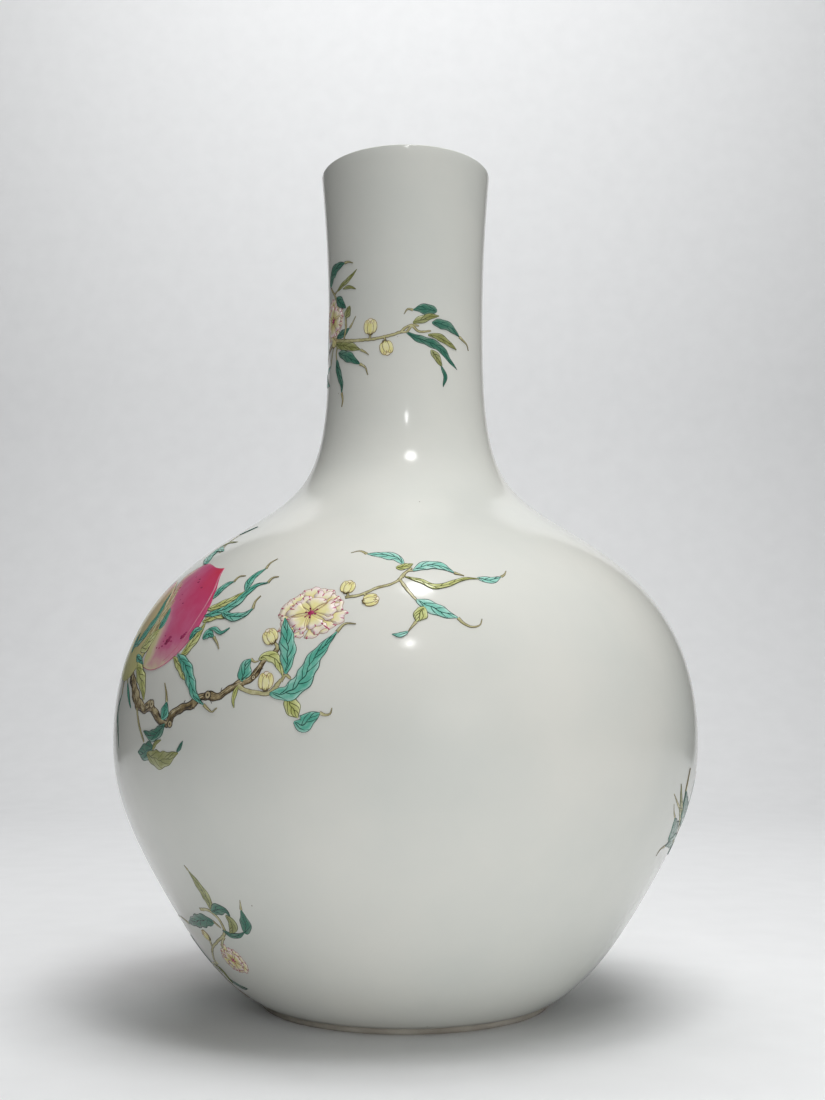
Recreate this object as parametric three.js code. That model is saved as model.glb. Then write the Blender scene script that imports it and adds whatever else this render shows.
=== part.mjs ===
// A large globular porcelain vase with a tall slim neck, thrown in sections and luted with slip.
// Millimetres, +Z up. The origin is the centre of the foot, on the surface it stands on.

import * as THREE from 'three';

// Outside of the vase, from the floor up.
const totalHeight = 515;
const footHeight = 3;
const footDiameter = 176;
const flankDiameter = 286;
const flankHeight = 64;
const bellyDiameter = 353;
const bellyHeight = 158;
const shoulderDiameter = 198;
const shoulderHeight = 283;
const neckDiameter = 99.5;
const neckHeight = 403;
const mouthDiameter = 109.5;

// Directions of the outline in degrees: above the horizontal, and the mouth's off the vertical.
const footRise = 25;
const flankRise = 59;
const shoulderSlope = 33;
const mouthFlare = 5;

// Reach of each curve's handles, as shares of the straight distance between its two ends.
const underFlankHandleShares = [0.29, 0.4];
const underBellyHandleShares = [0.51, 0.28];
const overBellyHandleShares = [0.53, 0.24];
const shoulderHandleShares = [0.36, 0.63];
const neckHandleShares = [0.4, 0.38];

// Thickness of the thrown wall at the ends of those curves: it thins towards the mouth.
const footWall = 12;
const flankWall = 9.5;
const bellyWall = 8;
const shoulderWall = 7;
const neckWall = 5.5;
const lipWall = 4.2;

// Foot ring and base. The ring carries the first of the body's curve above its standing edge.
const ringHeight = 8;
const recessRise = 2;
const ringWidth = 10;
const ringInset = 1.5;
const ringEdge = 1.2;
const ringTaper = 1.5;
const floorThickness = 13;

// Luted joints between the thrown sections.
const slipThickness = 0.8;
const slipBead = 1.6;
const shoulderSeamHeight = 307;

// Fineness of the turned surfaces.
const segments = 60;
const footRings = 2;
const baseRings = 3;
const lowerBellyRings = 10;
const upperBellyRings = 12;
const neckRings = 14;
const lipSteps = 4;

const porcelain = new THREE.MeshStandardMaterial({ color: 0xe4e4dc, roughness: 0.12 });
const slip = new THREE.MeshStandardMaterial({ color: 0xcfc9bb, roughness: 0.6 });
const biscuit = new THREE.MeshStandardMaterial({ color: 0xb9a892, roughness: 0.85 });

// The direction at an angle in degrees above the horizontal, in radius and height.
function heading(angle) {
  const radians = THREE.MathUtils.degToRad(angle);
  return new THREE.Vector2(Math.cos(radians), Math.sin(radians));
}

// A curve that leaves its start and reaches its end along the headings given.
function sweep(start, leaving, end, arriving, [leavingShare, arrivingShare]) {
  const span = start.distanceTo(end);
  const first = start.clone().addScaledVector(leaving, leavingShare * span);
  const second = end.clone().addScaledVector(arriving, -arrivingShare * span);
  return new THREE.CubicBezierCurve(start, first, second, end);
}

// The outside, in radius and height: five curves that meet without a kink.
function outsideCurves() {
  const foot = new THREE.Vector2(footDiameter / 2, footHeight);
  const flank = new THREE.Vector2(flankDiameter / 2, flankHeight);
  const belly = new THREE.Vector2(bellyDiameter / 2, bellyHeight);
  const shoulder = new THREE.Vector2(shoulderDiameter / 2, shoulderHeight);
  const neck = new THREE.Vector2(neckDiameter / 2, neckHeight);
  const mouth = new THREE.Vector2(mouthDiameter / 2, totalHeight);
  const upright = heading(90);
  const inward = heading(180 - shoulderSlope);
  return [
    sweep(foot, heading(footRise), flank, heading(flankRise), underFlankHandleShares),
    sweep(flank, heading(flankRise), belly, upright, underBellyHandleShares),
    sweep(belly, upright, shoulder, inward, overBellyHandleShares),
    sweep(shoulder, inward, neck, upright, shoulderHandleShares),
    sweep(neck, upright, mouth, heading(90 - mouthFlare), neckHandleShares),
  ];
}

const curves = outsideCurves();
const walls = [footWall, flankWall, bellyWall, shoulderWall, neckWall, lipWall];

// Travel runs from 0 at the foot to 5 at the mouth, one unit to each curve.
function curveAt(travel) {
  const index = Math.min(Math.floor(travel), curves.length - 1);
  return { index, along: travel - index };
}

function outside(travel) {
  const { index, along } = curveAt(travel);
  return curves[index].getPoint(along);
}

// The inside lies one wall thickness in from the outside, square to it.
function inside(travel) {
  const { index, along } = curveAt(travel);
  const tangent = curves[index].getTangent(along);
  const wall = THREE.MathUtils.lerp(walls[index], walls[index + 1], along);
  return outside(travel).add(new THREE.Vector2(-tangent.y, tangent.x).multiplyScalar(wall));
}

// The travel at which a surface reaches a height, by halving: both surfaces only ever rise.
function travelAt(surface, height) {
  let low = 0;
  let high = curves.length;
  for (let halving = 0; halving < 50; halving += 1) {
    const middle = (low + high) / 2;
    if (surface(middle).y < height) low = middle;
    else high = middle;
  }
  return (low + high) / 2;
}

function radiusAt(surface, height) {
  return surface(travelAt(surface, height)).x;
}

// Points up a surface, with the heights of both ends exact so that flat seams meet.
function risingPoints(surface, bottom, top, rings) {
  const start = travelAt(surface, bottom);
  const end = travelAt(surface, top);
  const points = [];
  for (let ring = 0; ring <= rings; ring += 1) {
    points.push(surface(THREE.MathUtils.lerp(start, end, ring / rings)));
  }
  points[0].y = bottom;
  points[rings].y = top;
  return points;
}

const vase = new THREE.Group();

// Turns an outline about the vertical axis. It runs anticlockwise in radius and height, and
// closes on itself unless it starts and ends on the axis.
function turn(name, points, material) {
  const outline = points[0].x === 0 ? points : [...points, points[0].clone()];
  const geometry = new THREE.LatheGeometry(outline, segments);
  geometry.rotateX(Math.PI / 2);
  const mesh = new THREE.Mesh(geometry, material);
  mesh.name = name;
  vase.add(mesh);
}

// A thrown wall between two flat seams.
function thrownWall(name, bottom, top, rings) {
  const outerWall = risingPoints(outside, bottom, top, rings);
  const innerWall = risingPoints(inside, bottom, top, rings).reverse();
  turn(name, [...outerWall, ...innerWall], porcelain);
}

// A layer of slip between two sections. What squeezed out is wiped off the outside, and stands
// as a bead on the inside.
function lutingSlip(name, bottom) {
  const top = bottom + slipThickness;
  const beadRadius = radiusAt(inside, bottom) - slipBead;
  turn(name, [
    new THREE.Vector2(radiusAt(outside, bottom), bottom),
    new THREE.Vector2(radiusAt(outside, top), top),
    new THREE.Vector2(radiusAt(inside, top), top),
    new THREE.Vector2(beadRadius, (bottom + top) / 2),
    new THREE.Vector2(radiusAt(inside, bottom), bottom),
  ], slip);
}

// Heights of the seams.
const baseBottom = ringHeight + slipThickness;
const baseTop = baseBottom + floorThickness;
const lowerBellyBottom = baseTop + slipThickness;
const upperBellyBottom = bellyHeight + slipThickness;
const neckBottom = shoulderSeamHeight + slipThickness;

const ringOuter = footDiameter / 2 - ringInset;
const ringInner = ringOuter - ringWidth;
const recessRadius = ringInner - ringTaper;

// The turned ring it stands on, bevelled where it meets the table.
function footRing() {
  turn('foot_ring', [
    new THREE.Vector2(ringInner + ringEdge, 0),
    new THREE.Vector2(ringOuter - ringEdge, 0),
    new THREE.Vector2(ringOuter, ringEdge),
    ...risingPoints(outside, footHeight, ringHeight, footRings),
    new THREE.Vector2(recessRadius, ringHeight),
    new THREE.Vector2(ringInner, ringEdge),
  ], biscuit);
}

function footLutingSlip() {
  turn('foot_luting_slip', [
    new THREE.Vector2(recessRadius, ringHeight),
    new THREE.Vector2(radiusAt(outside, ringHeight), ringHeight),
    new THREE.Vector2(radiusAt(outside, baseBottom), baseBottom),
    new THREE.Vector2(recessRadius, baseBottom),
  ], slip);
}

// The thick disc that closes the bottom, hollowed a little on its underside.
function baseFloor() {
  turn('base_floor', [
    new THREE.Vector2(0, baseBottom + recessRise),
    new THREE.Vector2(recessRadius / 2, baseBottom + recessRise),
    new THREE.Vector2(recessRadius, baseBottom),
    ...risingPoints(outside, baseBottom, baseTop, baseRings),
    new THREE.Vector2(0, baseTop),
  ], porcelain);
}

// The neck, with its lip rounded over from the outside to the inside.
function neckAndMouth() {
  const lipHeight = lipWall / 2;
  const lipBottom = totalHeight - lipHeight;
  const outerWall = risingPoints(outside, neckBottom, lipBottom, neckRings);
  const innerWall = risingPoints(inside, neckBottom, lipBottom, neckRings).reverse();
  const outerEdge = outerWall[neckRings].x;
  const innerEdge = innerWall[0].x;
  const lip = [];
  for (let step = 1; step < lipSteps; step += 1) {
    const round = heading(180 * step / lipSteps);
    lip.push(new THREE.Vector2(
      (outerEdge + innerEdge) / 2 + round.x * (outerEdge - innerEdge) / 2,
      lipBottom + round.y * lipHeight,
    ));
  }
  turn('neck', [...outerWall, ...lip, ...innerWall], porcelain);
}

footRing();
footLutingSlip();
baseFloor();
lutingSlip('base_luting_slip', baseTop);
thrownWall('lower_belly', lowerBellyBottom, bellyHeight, lowerBellyRings);
lutingSlip('belly_luting_slip', bellyHeight);
thrownWall('upper_belly', upperBellyBottom, shoulderSeamHeight, upperBellyRings);
lutingSlip('shoulder_luting_slip', shoulderSeamHeight);
neckAndMouth();

export default vase;
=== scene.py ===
"""A large globular porcelain vase, painted over the glaze with a peach tree in flower and fruit.

Sizes on the vase are in millimetres until a mesh is made, and Blender's objects are in metres.
A place on the wall is either (azimuth, height), with azimuth 0 towards the viewer and positive to
the viewer's right, or a pixel of the 825 x 1100 photograph, from which a ray is cast at the wall.
"""

import math
import random

import bmesh
import bpy
import numpy as np
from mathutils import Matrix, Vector


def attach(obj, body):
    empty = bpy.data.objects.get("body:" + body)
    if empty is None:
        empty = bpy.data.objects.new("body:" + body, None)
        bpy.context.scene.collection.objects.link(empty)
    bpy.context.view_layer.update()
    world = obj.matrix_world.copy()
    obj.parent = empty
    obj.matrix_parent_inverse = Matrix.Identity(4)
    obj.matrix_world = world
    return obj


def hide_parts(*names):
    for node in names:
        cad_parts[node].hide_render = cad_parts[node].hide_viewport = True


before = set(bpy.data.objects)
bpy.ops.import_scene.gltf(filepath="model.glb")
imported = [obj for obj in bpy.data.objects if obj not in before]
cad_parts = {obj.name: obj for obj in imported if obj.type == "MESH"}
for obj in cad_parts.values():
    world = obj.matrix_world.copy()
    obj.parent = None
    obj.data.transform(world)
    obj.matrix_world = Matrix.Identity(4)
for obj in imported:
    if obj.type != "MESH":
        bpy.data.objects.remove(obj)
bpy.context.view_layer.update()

MM = 0.001

# The outline of the outside, as the part has it: (radius, height) and direction in degrees.
FOOT = (88.0, 3.0)
FLANK = (143.0, 64.0)
BELLY = (176.5, 158.0)
SHOULDER = (99.0, 283.0)
NECK = (49.75, 403.0)
MOUTH = (54.75, 515.0)
FOOT_RISE = 25.0
FLANK_RISE = 59.0
SHOULDER_SLOPE = 33.0
MOUTH_FLARE = 5.0
# How far the two handles of each curve reach, as shares of the distance between its ends.
HANDLE_SHARES = ((0.29, 0.4), (0.51, 0.28), (0.53, 0.24), (0.36, 0.63), (0.4, 0.38))
# The wall's thickness at each of the six points.
WALLS = (12.0, 9.5, 8.0, 7.0, 5.5, 4.2)

# The foot ring, the base and the seams.
RING_HEIGHT = 8.0
RING_INSET = 1.5
RING_WIDTH = 10.0
RING_EDGE = 1.2
RING_TAPER = 1.5
SLIP = 0.8
SLIP_BEAD = 1.6
FLOOR_THICKNESS = 13.0
RECESS_RISE = 2.0
SHOULDER_SEAM = 307.0
BASE_UNDERSIDE = RING_HEIGHT + SLIP
FLOOR_HEIGHT = BASE_UNDERSIDE + FLOOR_THICKNESS
RECESS_RADIUS = FOOT[0] - RING_INSET - RING_WIDTH - RING_TAPER

# The inside as it was thrown: finger rings up the wall, and a rounded corner at the floor.
THROWING_RIPPLE = 0.25
THROWING_PITCH = 19.0
CORNER_RISE = 7.0
CORNER_REACH = 24.0

# How far apart the rows of faces lie up the outside and the inside.
OUTSIDE_ROW = 5.0
INSIDE_ROW = 4.5

# The glaze lies this far inside the part's outline, which leaves room for the enamels over it.
GLAZE_INSET = 0.5
# The lip isn't painted, so it needs less room, and its outer edge is crisp.
LIP_INSET = 0.1
LIP_EDGE = 0.8

# Enamel lies this far over the glaze, and each further layer this much higher. Neighbouring
# leaves take turns in this many layers.
ENAMEL_LIFT = 0.05
LAYER_LIFT = 0.1
LAYERS = 4
# A drawn line lies this far over its wash.
INK_LIFT = 0.02
# A piece of enamel is closed this far down into the glaze.
ENAMEL_DEPTH = 0.6
# A mesh with more points than this is put aside, and the next stroke starts a new one.
SHEET_VERTS = 2000

# The photograph's frame and camera.
PHOTO_WIDTH = 825.0
PHOTO_HEIGHT = 1100.0
FOCAL_PIXELS = 1279.0
SENSOR_MM = 36.0
AXIS_COLUMN = 405.6
CAMERA_DISTANCE = 797.5
CAMERA_HEIGHT = 174.4
CAMERA_PITCH = 6.995

# A ray from the camera is searched from this far before the vase, in this many steps.
RAY_MARGIN = 20.0
RAY_STEPS = 1500


# Colours and materials

# The colour sockets of a Mix node, which has one pair for each kind of value.
MIX_A, MIX_B, MIX_RESULT = 6, 7, 2


def linear(code):
    """A hex sRGB colour as the linear RGBA that the shaders use."""
    values = [int(code[i : i + 2], 16) / 255 for i in (1, 3, 5)]
    values = [v / 12.92 if v <= 0.04045 else ((v + 0.055) / 1.055) ** 2.4 for v in values]
    return (*values, 1.0)


def fill(tree, sockets, values):
    """Gives each socket its value: a number or vector, a hex colour, or a node's output."""
    for name, value in values.items():
        if isinstance(value, bpy.types.NodeSocket):
            tree.links.new(value, sockets[name])
        else:
            sockets[name].default_value = linear(value) if isinstance(value, str) else value


def add_node(tree, kind, inputs, stops=(), **settings):
    """Adds a shader node with its settings, links and colour stops, and returns its outputs."""
    made = tree.nodes.new("ShaderNode" + kind)
    for name, value in settings.items():
        setattr(made, name, value)
    fill(tree, made.inputs, inputs)
    for index, (position, code) in enumerate(stops):
        elements = made.color_ramp.elements
        element = elements[index] if index < 2 else elements.new(position)
        element.position = position
        element.color = linear(code)
    return made.outputs


def per_mm(size):
    """The scale that makes a pattern's features about this many millimetres across."""
    return 1.0 / (size * MM)


def start_material(name, roughness, ior):
    """A material with its uniform values set on the shader's own sockets, its node tree, those
    sockets, and the coordinates that its patterns read."""
    material = bpy.data.materials.new(name)
    material.use_nodes = True
    tree = material.node_tree
    shader = tree.nodes["Principled BSDF"].inputs
    fill(tree, shader, {"Roughness": roughness, "IOR": ior})
    return material, tree, shader, add_node(tree, "TexCoord", {})


def clear_glaze():
    """Clear feldspar glaze fired on white porcelain: glossy, a faint grey-green that clouds where
    it lies thick, the slow ripple of a brushed coat, and a few iron specks."""
    material, tree, shader, places = start_material("clear_porcelain_glaze", 0.14, 1.5)
    at = places["Object"]
    cloud = add_node(tree, "TexNoise", {"Vector": at, "Scale": per_mm(90), "Detail": 4.0})
    body = add_node(tree, "ValToRGB", {"Fac": cloud["Fac"]}, [(0.35, "#DFDFD8"), (0.65, "#D7D9D3")])
    # Each cell holds one iron speck, up to a millimetre across.
    cell = add_node(tree, "TexVoronoi", {"Vector": at, "Scale": per_mm(30)})
    speck = add_node(
        tree, "MapRange", {"Value": cell["Distance"], "From Min": 0.016, "From Max": 0.009}
    )
    colour = add_node(
        tree,
        "Mix",
        {"Factor": speck["Result"], MIX_A: body["Color"], MIX_B: "#857C68"},
        data_type="RGBA",
    )
    peel = add_node(tree, "TexNoise", {"Vector": at, "Scale": per_mm(9), "Detail": 2.0})
    # Drawn out sideways, the noise becomes the level streaks of a brushed coat.
    flattened = add_node(
        tree, "Mapping", {"Vector": at, "Scale": (0.06, 0.06, 1.0)}, vector_type="POINT"
    )
    rings = add_node(
        tree, "TexNoise", {"Vector": flattened["Vector"], "Scale": per_mm(5.5), "Detail": 1.0}
    )
    height = add_node(
        tree, "Math", {0: rings["Fac"], 1: 0.5, 2: peel["Fac"]}, operation="MULTIPLY_ADD"
    )
    relief = add_node(tree, "Bump", {"Height": height["Value"], "Distance": 0.06 * MM})
    fill(tree, shader, {"Base Color": colour[MIX_RESULT], "Normal": relief["Normal"]})
    return material


def washed_enamel(name, stops, wash_mm=9.0, roughness=0.16, margin=0.0):
    """Translucent lead enamel laid on with a loaded brush: its colour drifts with how thick the
    wash lies, it thins at its margins, and the fired surface is glossy and a little uneven."""
    material, tree, shader, places = start_material(name, roughness, 1.55)
    wash = add_node(
        tree,
        "TexNoise",
        {"Vector": places["Object"], "Scale": per_mm(wash_mm), "Detail": 4.0, "Roughness": 0.6},
    )
    level = wash["Fac"]
    if margin:
        stroke = add_node(tree, "SeparateXYZ", {"Vector": places["UV"]})
        side = add_node(tree, "Math", {0: stroke["Y"], 1: 0.5}, operation="SUBTRACT")
        off_middle = add_node(tree, "Math", {0: side["Value"]}, operation="ABSOLUTE")
        thinning = add_node(
            tree,
            "MapRange",
            {"Value": off_middle["Value"], "From Min": 0.28, "From Max": 0.5, "To Max": margin},
        )
        level = add_node(
            tree, "Math", {0: wash["Fac"], 1: thinning["Result"]}, operation="ADD"
        )["Value"]
    colour = add_node(tree, "ValToRGB", {"Fac": level}, stops)
    relief = add_node(tree, "Bump", {"Height": wash["Fac"], "Distance": 0.08 * MM})
    fill(tree, shader, {"Base Color": colour["Color"], "Normal": relief["Normal"]})
    return material


def peach_enamel(name, stops):
    """Gold-ruby rose worked wet over white and yellow-green: strongest at the tip and along the
    sunny side, and thinned to the pale ground at the stalk and down the shaded side."""
    material, tree, shader, places = start_material(name, 0.16, 1.55)
    at = places["Object"]
    stroke = add_node(tree, "SeparateXYZ", {"Vector": places["UV"]})
    side = add_node(tree, "Math", {0: stroke["Y"], 1: 0.3}, operation="SUBTRACT")
    squared = add_node(tree, "Math", {0: side["Value"], 1: side["Value"]}, operation="MULTIPLY")
    from_tip = add_node(tree, "Math", {0: 1.05, 1: stroke["X"]}, operation="SUBTRACT")
    shaded = add_node(
        tree, "Math", {0: squared["Value"], 1: from_tip["Value"]}, operation="MULTIPLY"
    )
    ripeness = add_node(
        tree, "Math", {0: shaded["Value"], 1: -1.7, 2: stroke["X"]}, operation="MULTIPLY_ADD"
    )
    drift = add_node(tree, "TexNoise", {"Vector": at, "Scale": per_mm(14), "Detail": 4.0})
    shade = add_node(tree, "Math", {0: drift["Fac"], 1: 0.34, 2: 0.03}, operation="MULTIPLY_ADD")
    level = add_node(
        tree, "Math", {0: ripeness["Value"], 1: 0.8, 2: shade["Value"]}, operation="MULTIPLY_ADD"
    )
    wash = add_node(tree, "ValToRGB", {"Fac": level["Value"]}, stops)
    relief = add_node(tree, "Bump", {"Height": drift["Fac"], "Distance": 0.1 * MM})
    fill(tree, shader, {"Base Color": wash["Color"], "Normal": relief["Normal"]})
    return material


def blossom_enamel():
    """Opaque yellow enamel brushed from the foot of each petal into white tinged with rose."""
    material, tree, shader, places = start_material("blossom_enamel", 0.22, 1.55)
    at = places["Object"]
    stroke = add_node(tree, "SeparateXYZ", {"Vector": places["UV"]})
    drift = add_node(tree, "TexNoise", {"Vector": at, "Scale": per_mm(3), "Detail": 3.0})
    reach = add_node(tree, "Math", {0: stroke["X"], 1: 0.66}, operation="MULTIPLY")
    level = add_node(
        tree, "Math", {0: drift["Fac"], 1: 0.5, 2: reach["Value"]}, operation="MULTIPLY_ADD"
    )
    wash = add_node(
        tree,
        "ValToRGB",
        {"Fac": level["Value"]},
        [
            (0.3, "#E7DE90"), (0.58, "#ECE4A8"), (0.74, "#F0E8C8"), (0.86, "#F3E5E0"),
            (1.0, "#EFD6DC"),
        ],
    )
    relief = add_node(tree, "Bump", {"Height": drift["Fac"], "Distance": 0.05 * MM})
    fill(tree, shader, {"Base Color": wash["Color"], "Normal": relief["Normal"]})
    return material


def bark_enamel():
    """Brown enamel scrubbed over an ink drawing of bark: uneven, paler along the crown."""
    material, tree, shader, places = start_material("bark_brown_enamel", 0.26, 1.55)
    at = places["Object"]
    stroke = add_node(tree, "SeparateXYZ", {"Vector": places["UV"]})
    scrub = add_node(
        tree, "TexNoise", {"Vector": at, "Scale": per_mm(5), "Detail": 5.0, "Roughness": 0.65}
    )
    level = add_node(
        tree, "Math", {0: stroke["Y"], 1: 0.2, 2: scrub["Fac"]}, operation="MULTIPLY_ADD"
    )
    wash = add_node(
        tree,
        "ValToRGB",
        {"Fac": level["Value"]},
        [(0.4, "#4E402B"), (0.52, "#726245"), (0.64, "#9B8B68"), (0.76, "#C2B590")],
    )
    relief = add_node(tree, "Bump", {"Height": scrub["Fac"], "Distance": 0.15 * MM})
    fill(tree, shader, {"Base Color": wash["Color"], "Normal": relief["Normal"]})
    return material


def drawn_line(name, thick, thin):
    """A line of one colour drawn with a fine brush: darker where the brush ran full, paler where
    it ran thin, and glossy like the enamels beside it."""
    return washed_enamel(name, [(0.35, thick), (0.65, thin)], wash_mm=5.0, roughness=0.22)


def biscuit():
    """Unglazed fired porcelain on the standing edge: matt, warm, and gritty where it was wiped."""
    material, tree, shader, places = start_material("biscuit_porcelain", 0.8, 1.5)
    at = places["Object"]
    toast = add_node(tree, "TexNoise", {"Vector": at, "Scale": per_mm(26), "Detail": 6.0})
    colour = add_node(
        tree,
        "ValToRGB",
        {"Fac": toast["Fac"]},
        [(0.3, "#938C81"), (0.5, "#A29C91"), (0.7, "#B4AFA5")],
    )
    grit = add_node(tree, "TexNoise", {"Vector": at, "Scale": per_mm(0.8), "Detail": 3.0})
    relief = add_node(tree, "Bump", {"Height": grit["Fac"], "Distance": 0.15 * MM})
    fill(tree, shader, {"Base Color": colour["Color"], "Normal": relief["Normal"]})
    return material


def wiped_slip():
    """Luting slip wiped round with a wet brush and glazed over: smooth, a little streaky."""
    return washed_enamel(
        "wiped_luting_slip", [(0.3, "#C9C6BB"), (0.7, "#D9D7CD")], wash_mm=14.0, roughness=0.2
    )


GLAZE = clear_glaze()
BISCUIT = biscuit()
SLIP_CLAY = wiped_slip()
BARK = bark_enamel()
PETAL = blossom_enamel()
INK = drawn_line("iron_black_line", "#262019", "#55452F")
TURQUOISE_LINE = drawn_line("line_under_turquoise", "#153B33", "#2F6456")
OLIVE_LINE = drawn_line("line_under_yellow_green", "#454824", "#777A45")
TWIG_LINE = drawn_line("line_under_twig_brown", "#4C4230", "#80744F")
PETAL_LINE = drawn_line("line_round_petals", "#9C7860", "#BC987A")
BUD_LINE = drawn_line("line_round_buds", "#826C42", "#AC9662")
ROSE = drawn_line("rose_line_enamel", "#A12B57", "#CB6286")
DEEP_ROSE = drawn_line("deep_rose_dots", "#6E1A40", "#962E58")
PALE_ROSE = drawn_line("pale_rose_light", "#D2708D", "#DB8FA3")
CRIMSON = drawn_line("crimson_specks", "#8A2450", "#B2406C")
BARK_LIGHT = drawn_line("pale_lights_on_bark", "#B3A581", "#CFC4A4")
PEACH = peach_enamel(
    "rose_peach_enamel",
    [
        (0.22, "#D6D29E"), (0.32, "#DFCDB0"), (0.4, "#D8A0AA"), (0.51, "#CC6A90"),
        (0.68, "#C84570"), (0.9, "#CB3650"),
    ],
)
PALE_PEACH = peach_enamel(
    "pale_peach_enamel",
    [(0.2, "#BFC07E"), (0.5, "#D0CB8E"), (0.7, "#D8C198"), (0.86, "#CE8D92"), (0.98, "#C04A6C")],
)
TURQUOISE = washed_enamel(
    "turquoise_enamel", [(0.3, "#4A9F8A"), (0.5, "#65B49F"), (0.78, "#9ED0C1")], 7.0, margin=0.3
)
OLIVE = washed_enamel(
    "yellow_green_enamel", [(0.3, "#ADB365"), (0.5, "#C4C982"), (0.78, "#DEE1AD")], 6.0, margin=0.25
)
# The same two greens made deeper: on the neck where the wash was loaded, and on the sprigs low down
# and towards the vase's sides as painted shade.
LOADED_AND_SHADED_GREEN = washed_enamel(
    "loaded_and_shaded_turquoise_enamel",
    [(0.3, "#346E5B"), (0.5, "#487D6A"), (0.78, "#739182")],
    7.0,
    margin=0.3,
)
LOADED_AND_SHADED_OLIVE = washed_enamel(
    "loaded_and_shaded_yellow_green_enamel",
    [(0.3, "#878C4E"), (0.5, "#999D65"), (0.78, "#B3B68B")],
    6.0,
    margin=0.25,
)
# The first green made paler: a thinner wash, and a painted highlight where the haze of the lamp's
# reflection in the glaze lies over the shoulder twig.
THIN_AND_SHEEN_GREEN = washed_enamel(
    "thin_and_sheen_turquoise_enamel",
    [(0.3, "#6DB8A6"), (0.5, "#92D2C2"), (0.78, "#BFE3D9")],
    7.0,
    margin=0.3,
)
TWIG = washed_enamel(
    "twig_brown_green_enamel",
    [(0.3, "#A19A70"), (0.5, "#BBB688"), (0.75, "#D6D2AC")],
    4.0,
    margin=0.1,
)
CREAM = washed_enamel(
    "cream_enamel", [(0.3, "#D2C9A0"), (0.5, "#DDD6B4"), (0.75, "#E6E1C8")], 4.0, margin=0.1
)
BUD = washed_enamel(
    "bud_yellow_enamel", [(0.3, "#E4DC8C"), (0.5, "#EAE4A4"), (0.78, "#F0ECCE")], 4.0, margin=0.22
)
# The drawing line that shows through each enamel; the others keep the bare ink.
LINES = {
    "turquoise_enamel": TURQUOISE_LINE,
    "yellow_green_enamel": OLIVE_LINE,
    "loaded_and_shaded_turquoise_enamel": TURQUOISE_LINE,
    "loaded_and_shaded_yellow_green_enamel": OLIVE_LINE,
    "thin_and_sheen_turquoise_enamel": TURQUOISE_LINE,
    "twig_brown_green_enamel": TWIG_LINE,
    "cream_enamel": BUD_LINE,
}


# The wall: the part's outline as a table of points that everything painted is laid on


def heading(angle):
    """A direction in the outline's plane, in degrees up from level."""
    return np.array([math.cos(math.radians(angle)), math.sin(math.radians(angle))])


def sweep(start, leaving, end, arriving, shares, steps=400):
    """A curve that leaves its start and reaches its end along the headings given."""
    start, end = np.array(start), np.array(end)
    span = np.linalg.norm(end - start)
    first = start + leaving * shares[0] * span
    second = end - arriving * shares[1] * span
    t = np.linspace(0, 1, steps)[:, None]
    near = (1 - t) ** 3 * start + 3 * (1 - t) ** 2 * t * first
    return near + 3 * (1 - t) * t**2 * second + t**3 * end


STATIONS = (FOOT, FLANK, BELLY, SHOULDER, NECK, MOUTH)
HEADINGS = tuple(
    heading(angle)
    for angle in (FOOT_RISE, FLANK_RISE, 90, 180 - SHOULDER_SLOPE, 90, 90 - MOUTH_FLARE)
)


def outline_table():
    """Points up the outside, and at each the wall's thickness and the directions along the
    outline and out of it."""
    curves = [
        sweep(STATIONS[i], HEADINGS[i], STATIONS[i + 1], HEADINGS[i + 1], HANDLE_SHARES[i])
        for i in range(len(HANDLE_SHARES))
    ]
    points = np.concatenate([curves[0]] + [curve[1:] for curve in curves[1:]])
    thickness = np.interp(
        np.arange(len(points)) / (len(points) - 1) * (len(WALLS) - 1), range(len(WALLS)), WALLS
    )
    tangents = np.gradient(points, axis=0)
    tangents /= np.linalg.norm(tangents, axis=1)[:, None]
    normals = np.stack([tangents[:, 1], -tangents[:, 0]], axis=1)
    return points, thickness, tangents, normals


OUTSIDE, THICKNESS, TANGENTS, NORMALS = outline_table()
GLAZED = OUTSIDE - NORMALS * GLAZE_INSET
INSIDE = OUTSIDE - NORMALS * THICKNESS[:, None]
RISE = np.concatenate([[0], np.cumsum(np.linalg.norm(np.diff(GLAZED, axis=0), axis=1))])


def rise_at_height(height):
    """How far up the glazed outline a height is, measured along it."""
    return np.interp(height, GLAZED[:, 1], RISE)


def wall(chart):
    """Points and normals on the glaze for an array of (azimuth in radians, rise)."""
    azimuth, rise = chart[..., 0], chart[..., 1]
    radius = np.interp(rise, RISE, GLAZED[:, 0])
    height = np.interp(rise, RISE, GLAZED[:, 1])
    outward = np.interp(rise, RISE, NORMALS[:, 0])
    upward = np.interp(rise, RISE, NORMALS[:, 1])
    sine, cosine = np.sin(azimuth), np.cos(azimuth)
    points = np.stack([radius * sine, -radius * cosine, height], axis=-1)
    normals = np.stack([outward * sine, -outward * cosine, upward], axis=-1)
    return points, normals / np.linalg.norm(normals, axis=-1)[..., None]


# Every twelfth point of the table is near enough to search, since the tangent gives the rest.
COARSE = slice(None, None, 12)


def snap(points):
    """The (azimuth, rise) of the place on the glaze nearest to each point in space."""
    flat = points.reshape(-1, 3)
    section = np.stack([np.hypot(flat[:, 0], flat[:, 1]), flat[:, 2]], axis=1)
    table = GLAZED[COARSE]
    gaps = ((section[:, None, :] - table[None]) ** 2).sum(axis=2)
    nearest = gaps.argmin(axis=1)
    along = ((section - table[nearest]) * TANGENTS[COARSE][nearest]).sum(axis=1)
    rise = RISE[COARSE][nearest] + along
    azimuth = np.arctan2(flat[:, 0], -flat[:, 1])
    return np.stack([azimuth, rise], axis=1).reshape(*points.shape[:-1], 2)


def placed(azimuth, height):
    """A place on the wall, from degrees around and millimetres up."""
    return (math.radians(azimuth), float(rise_at_height(height)))


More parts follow.
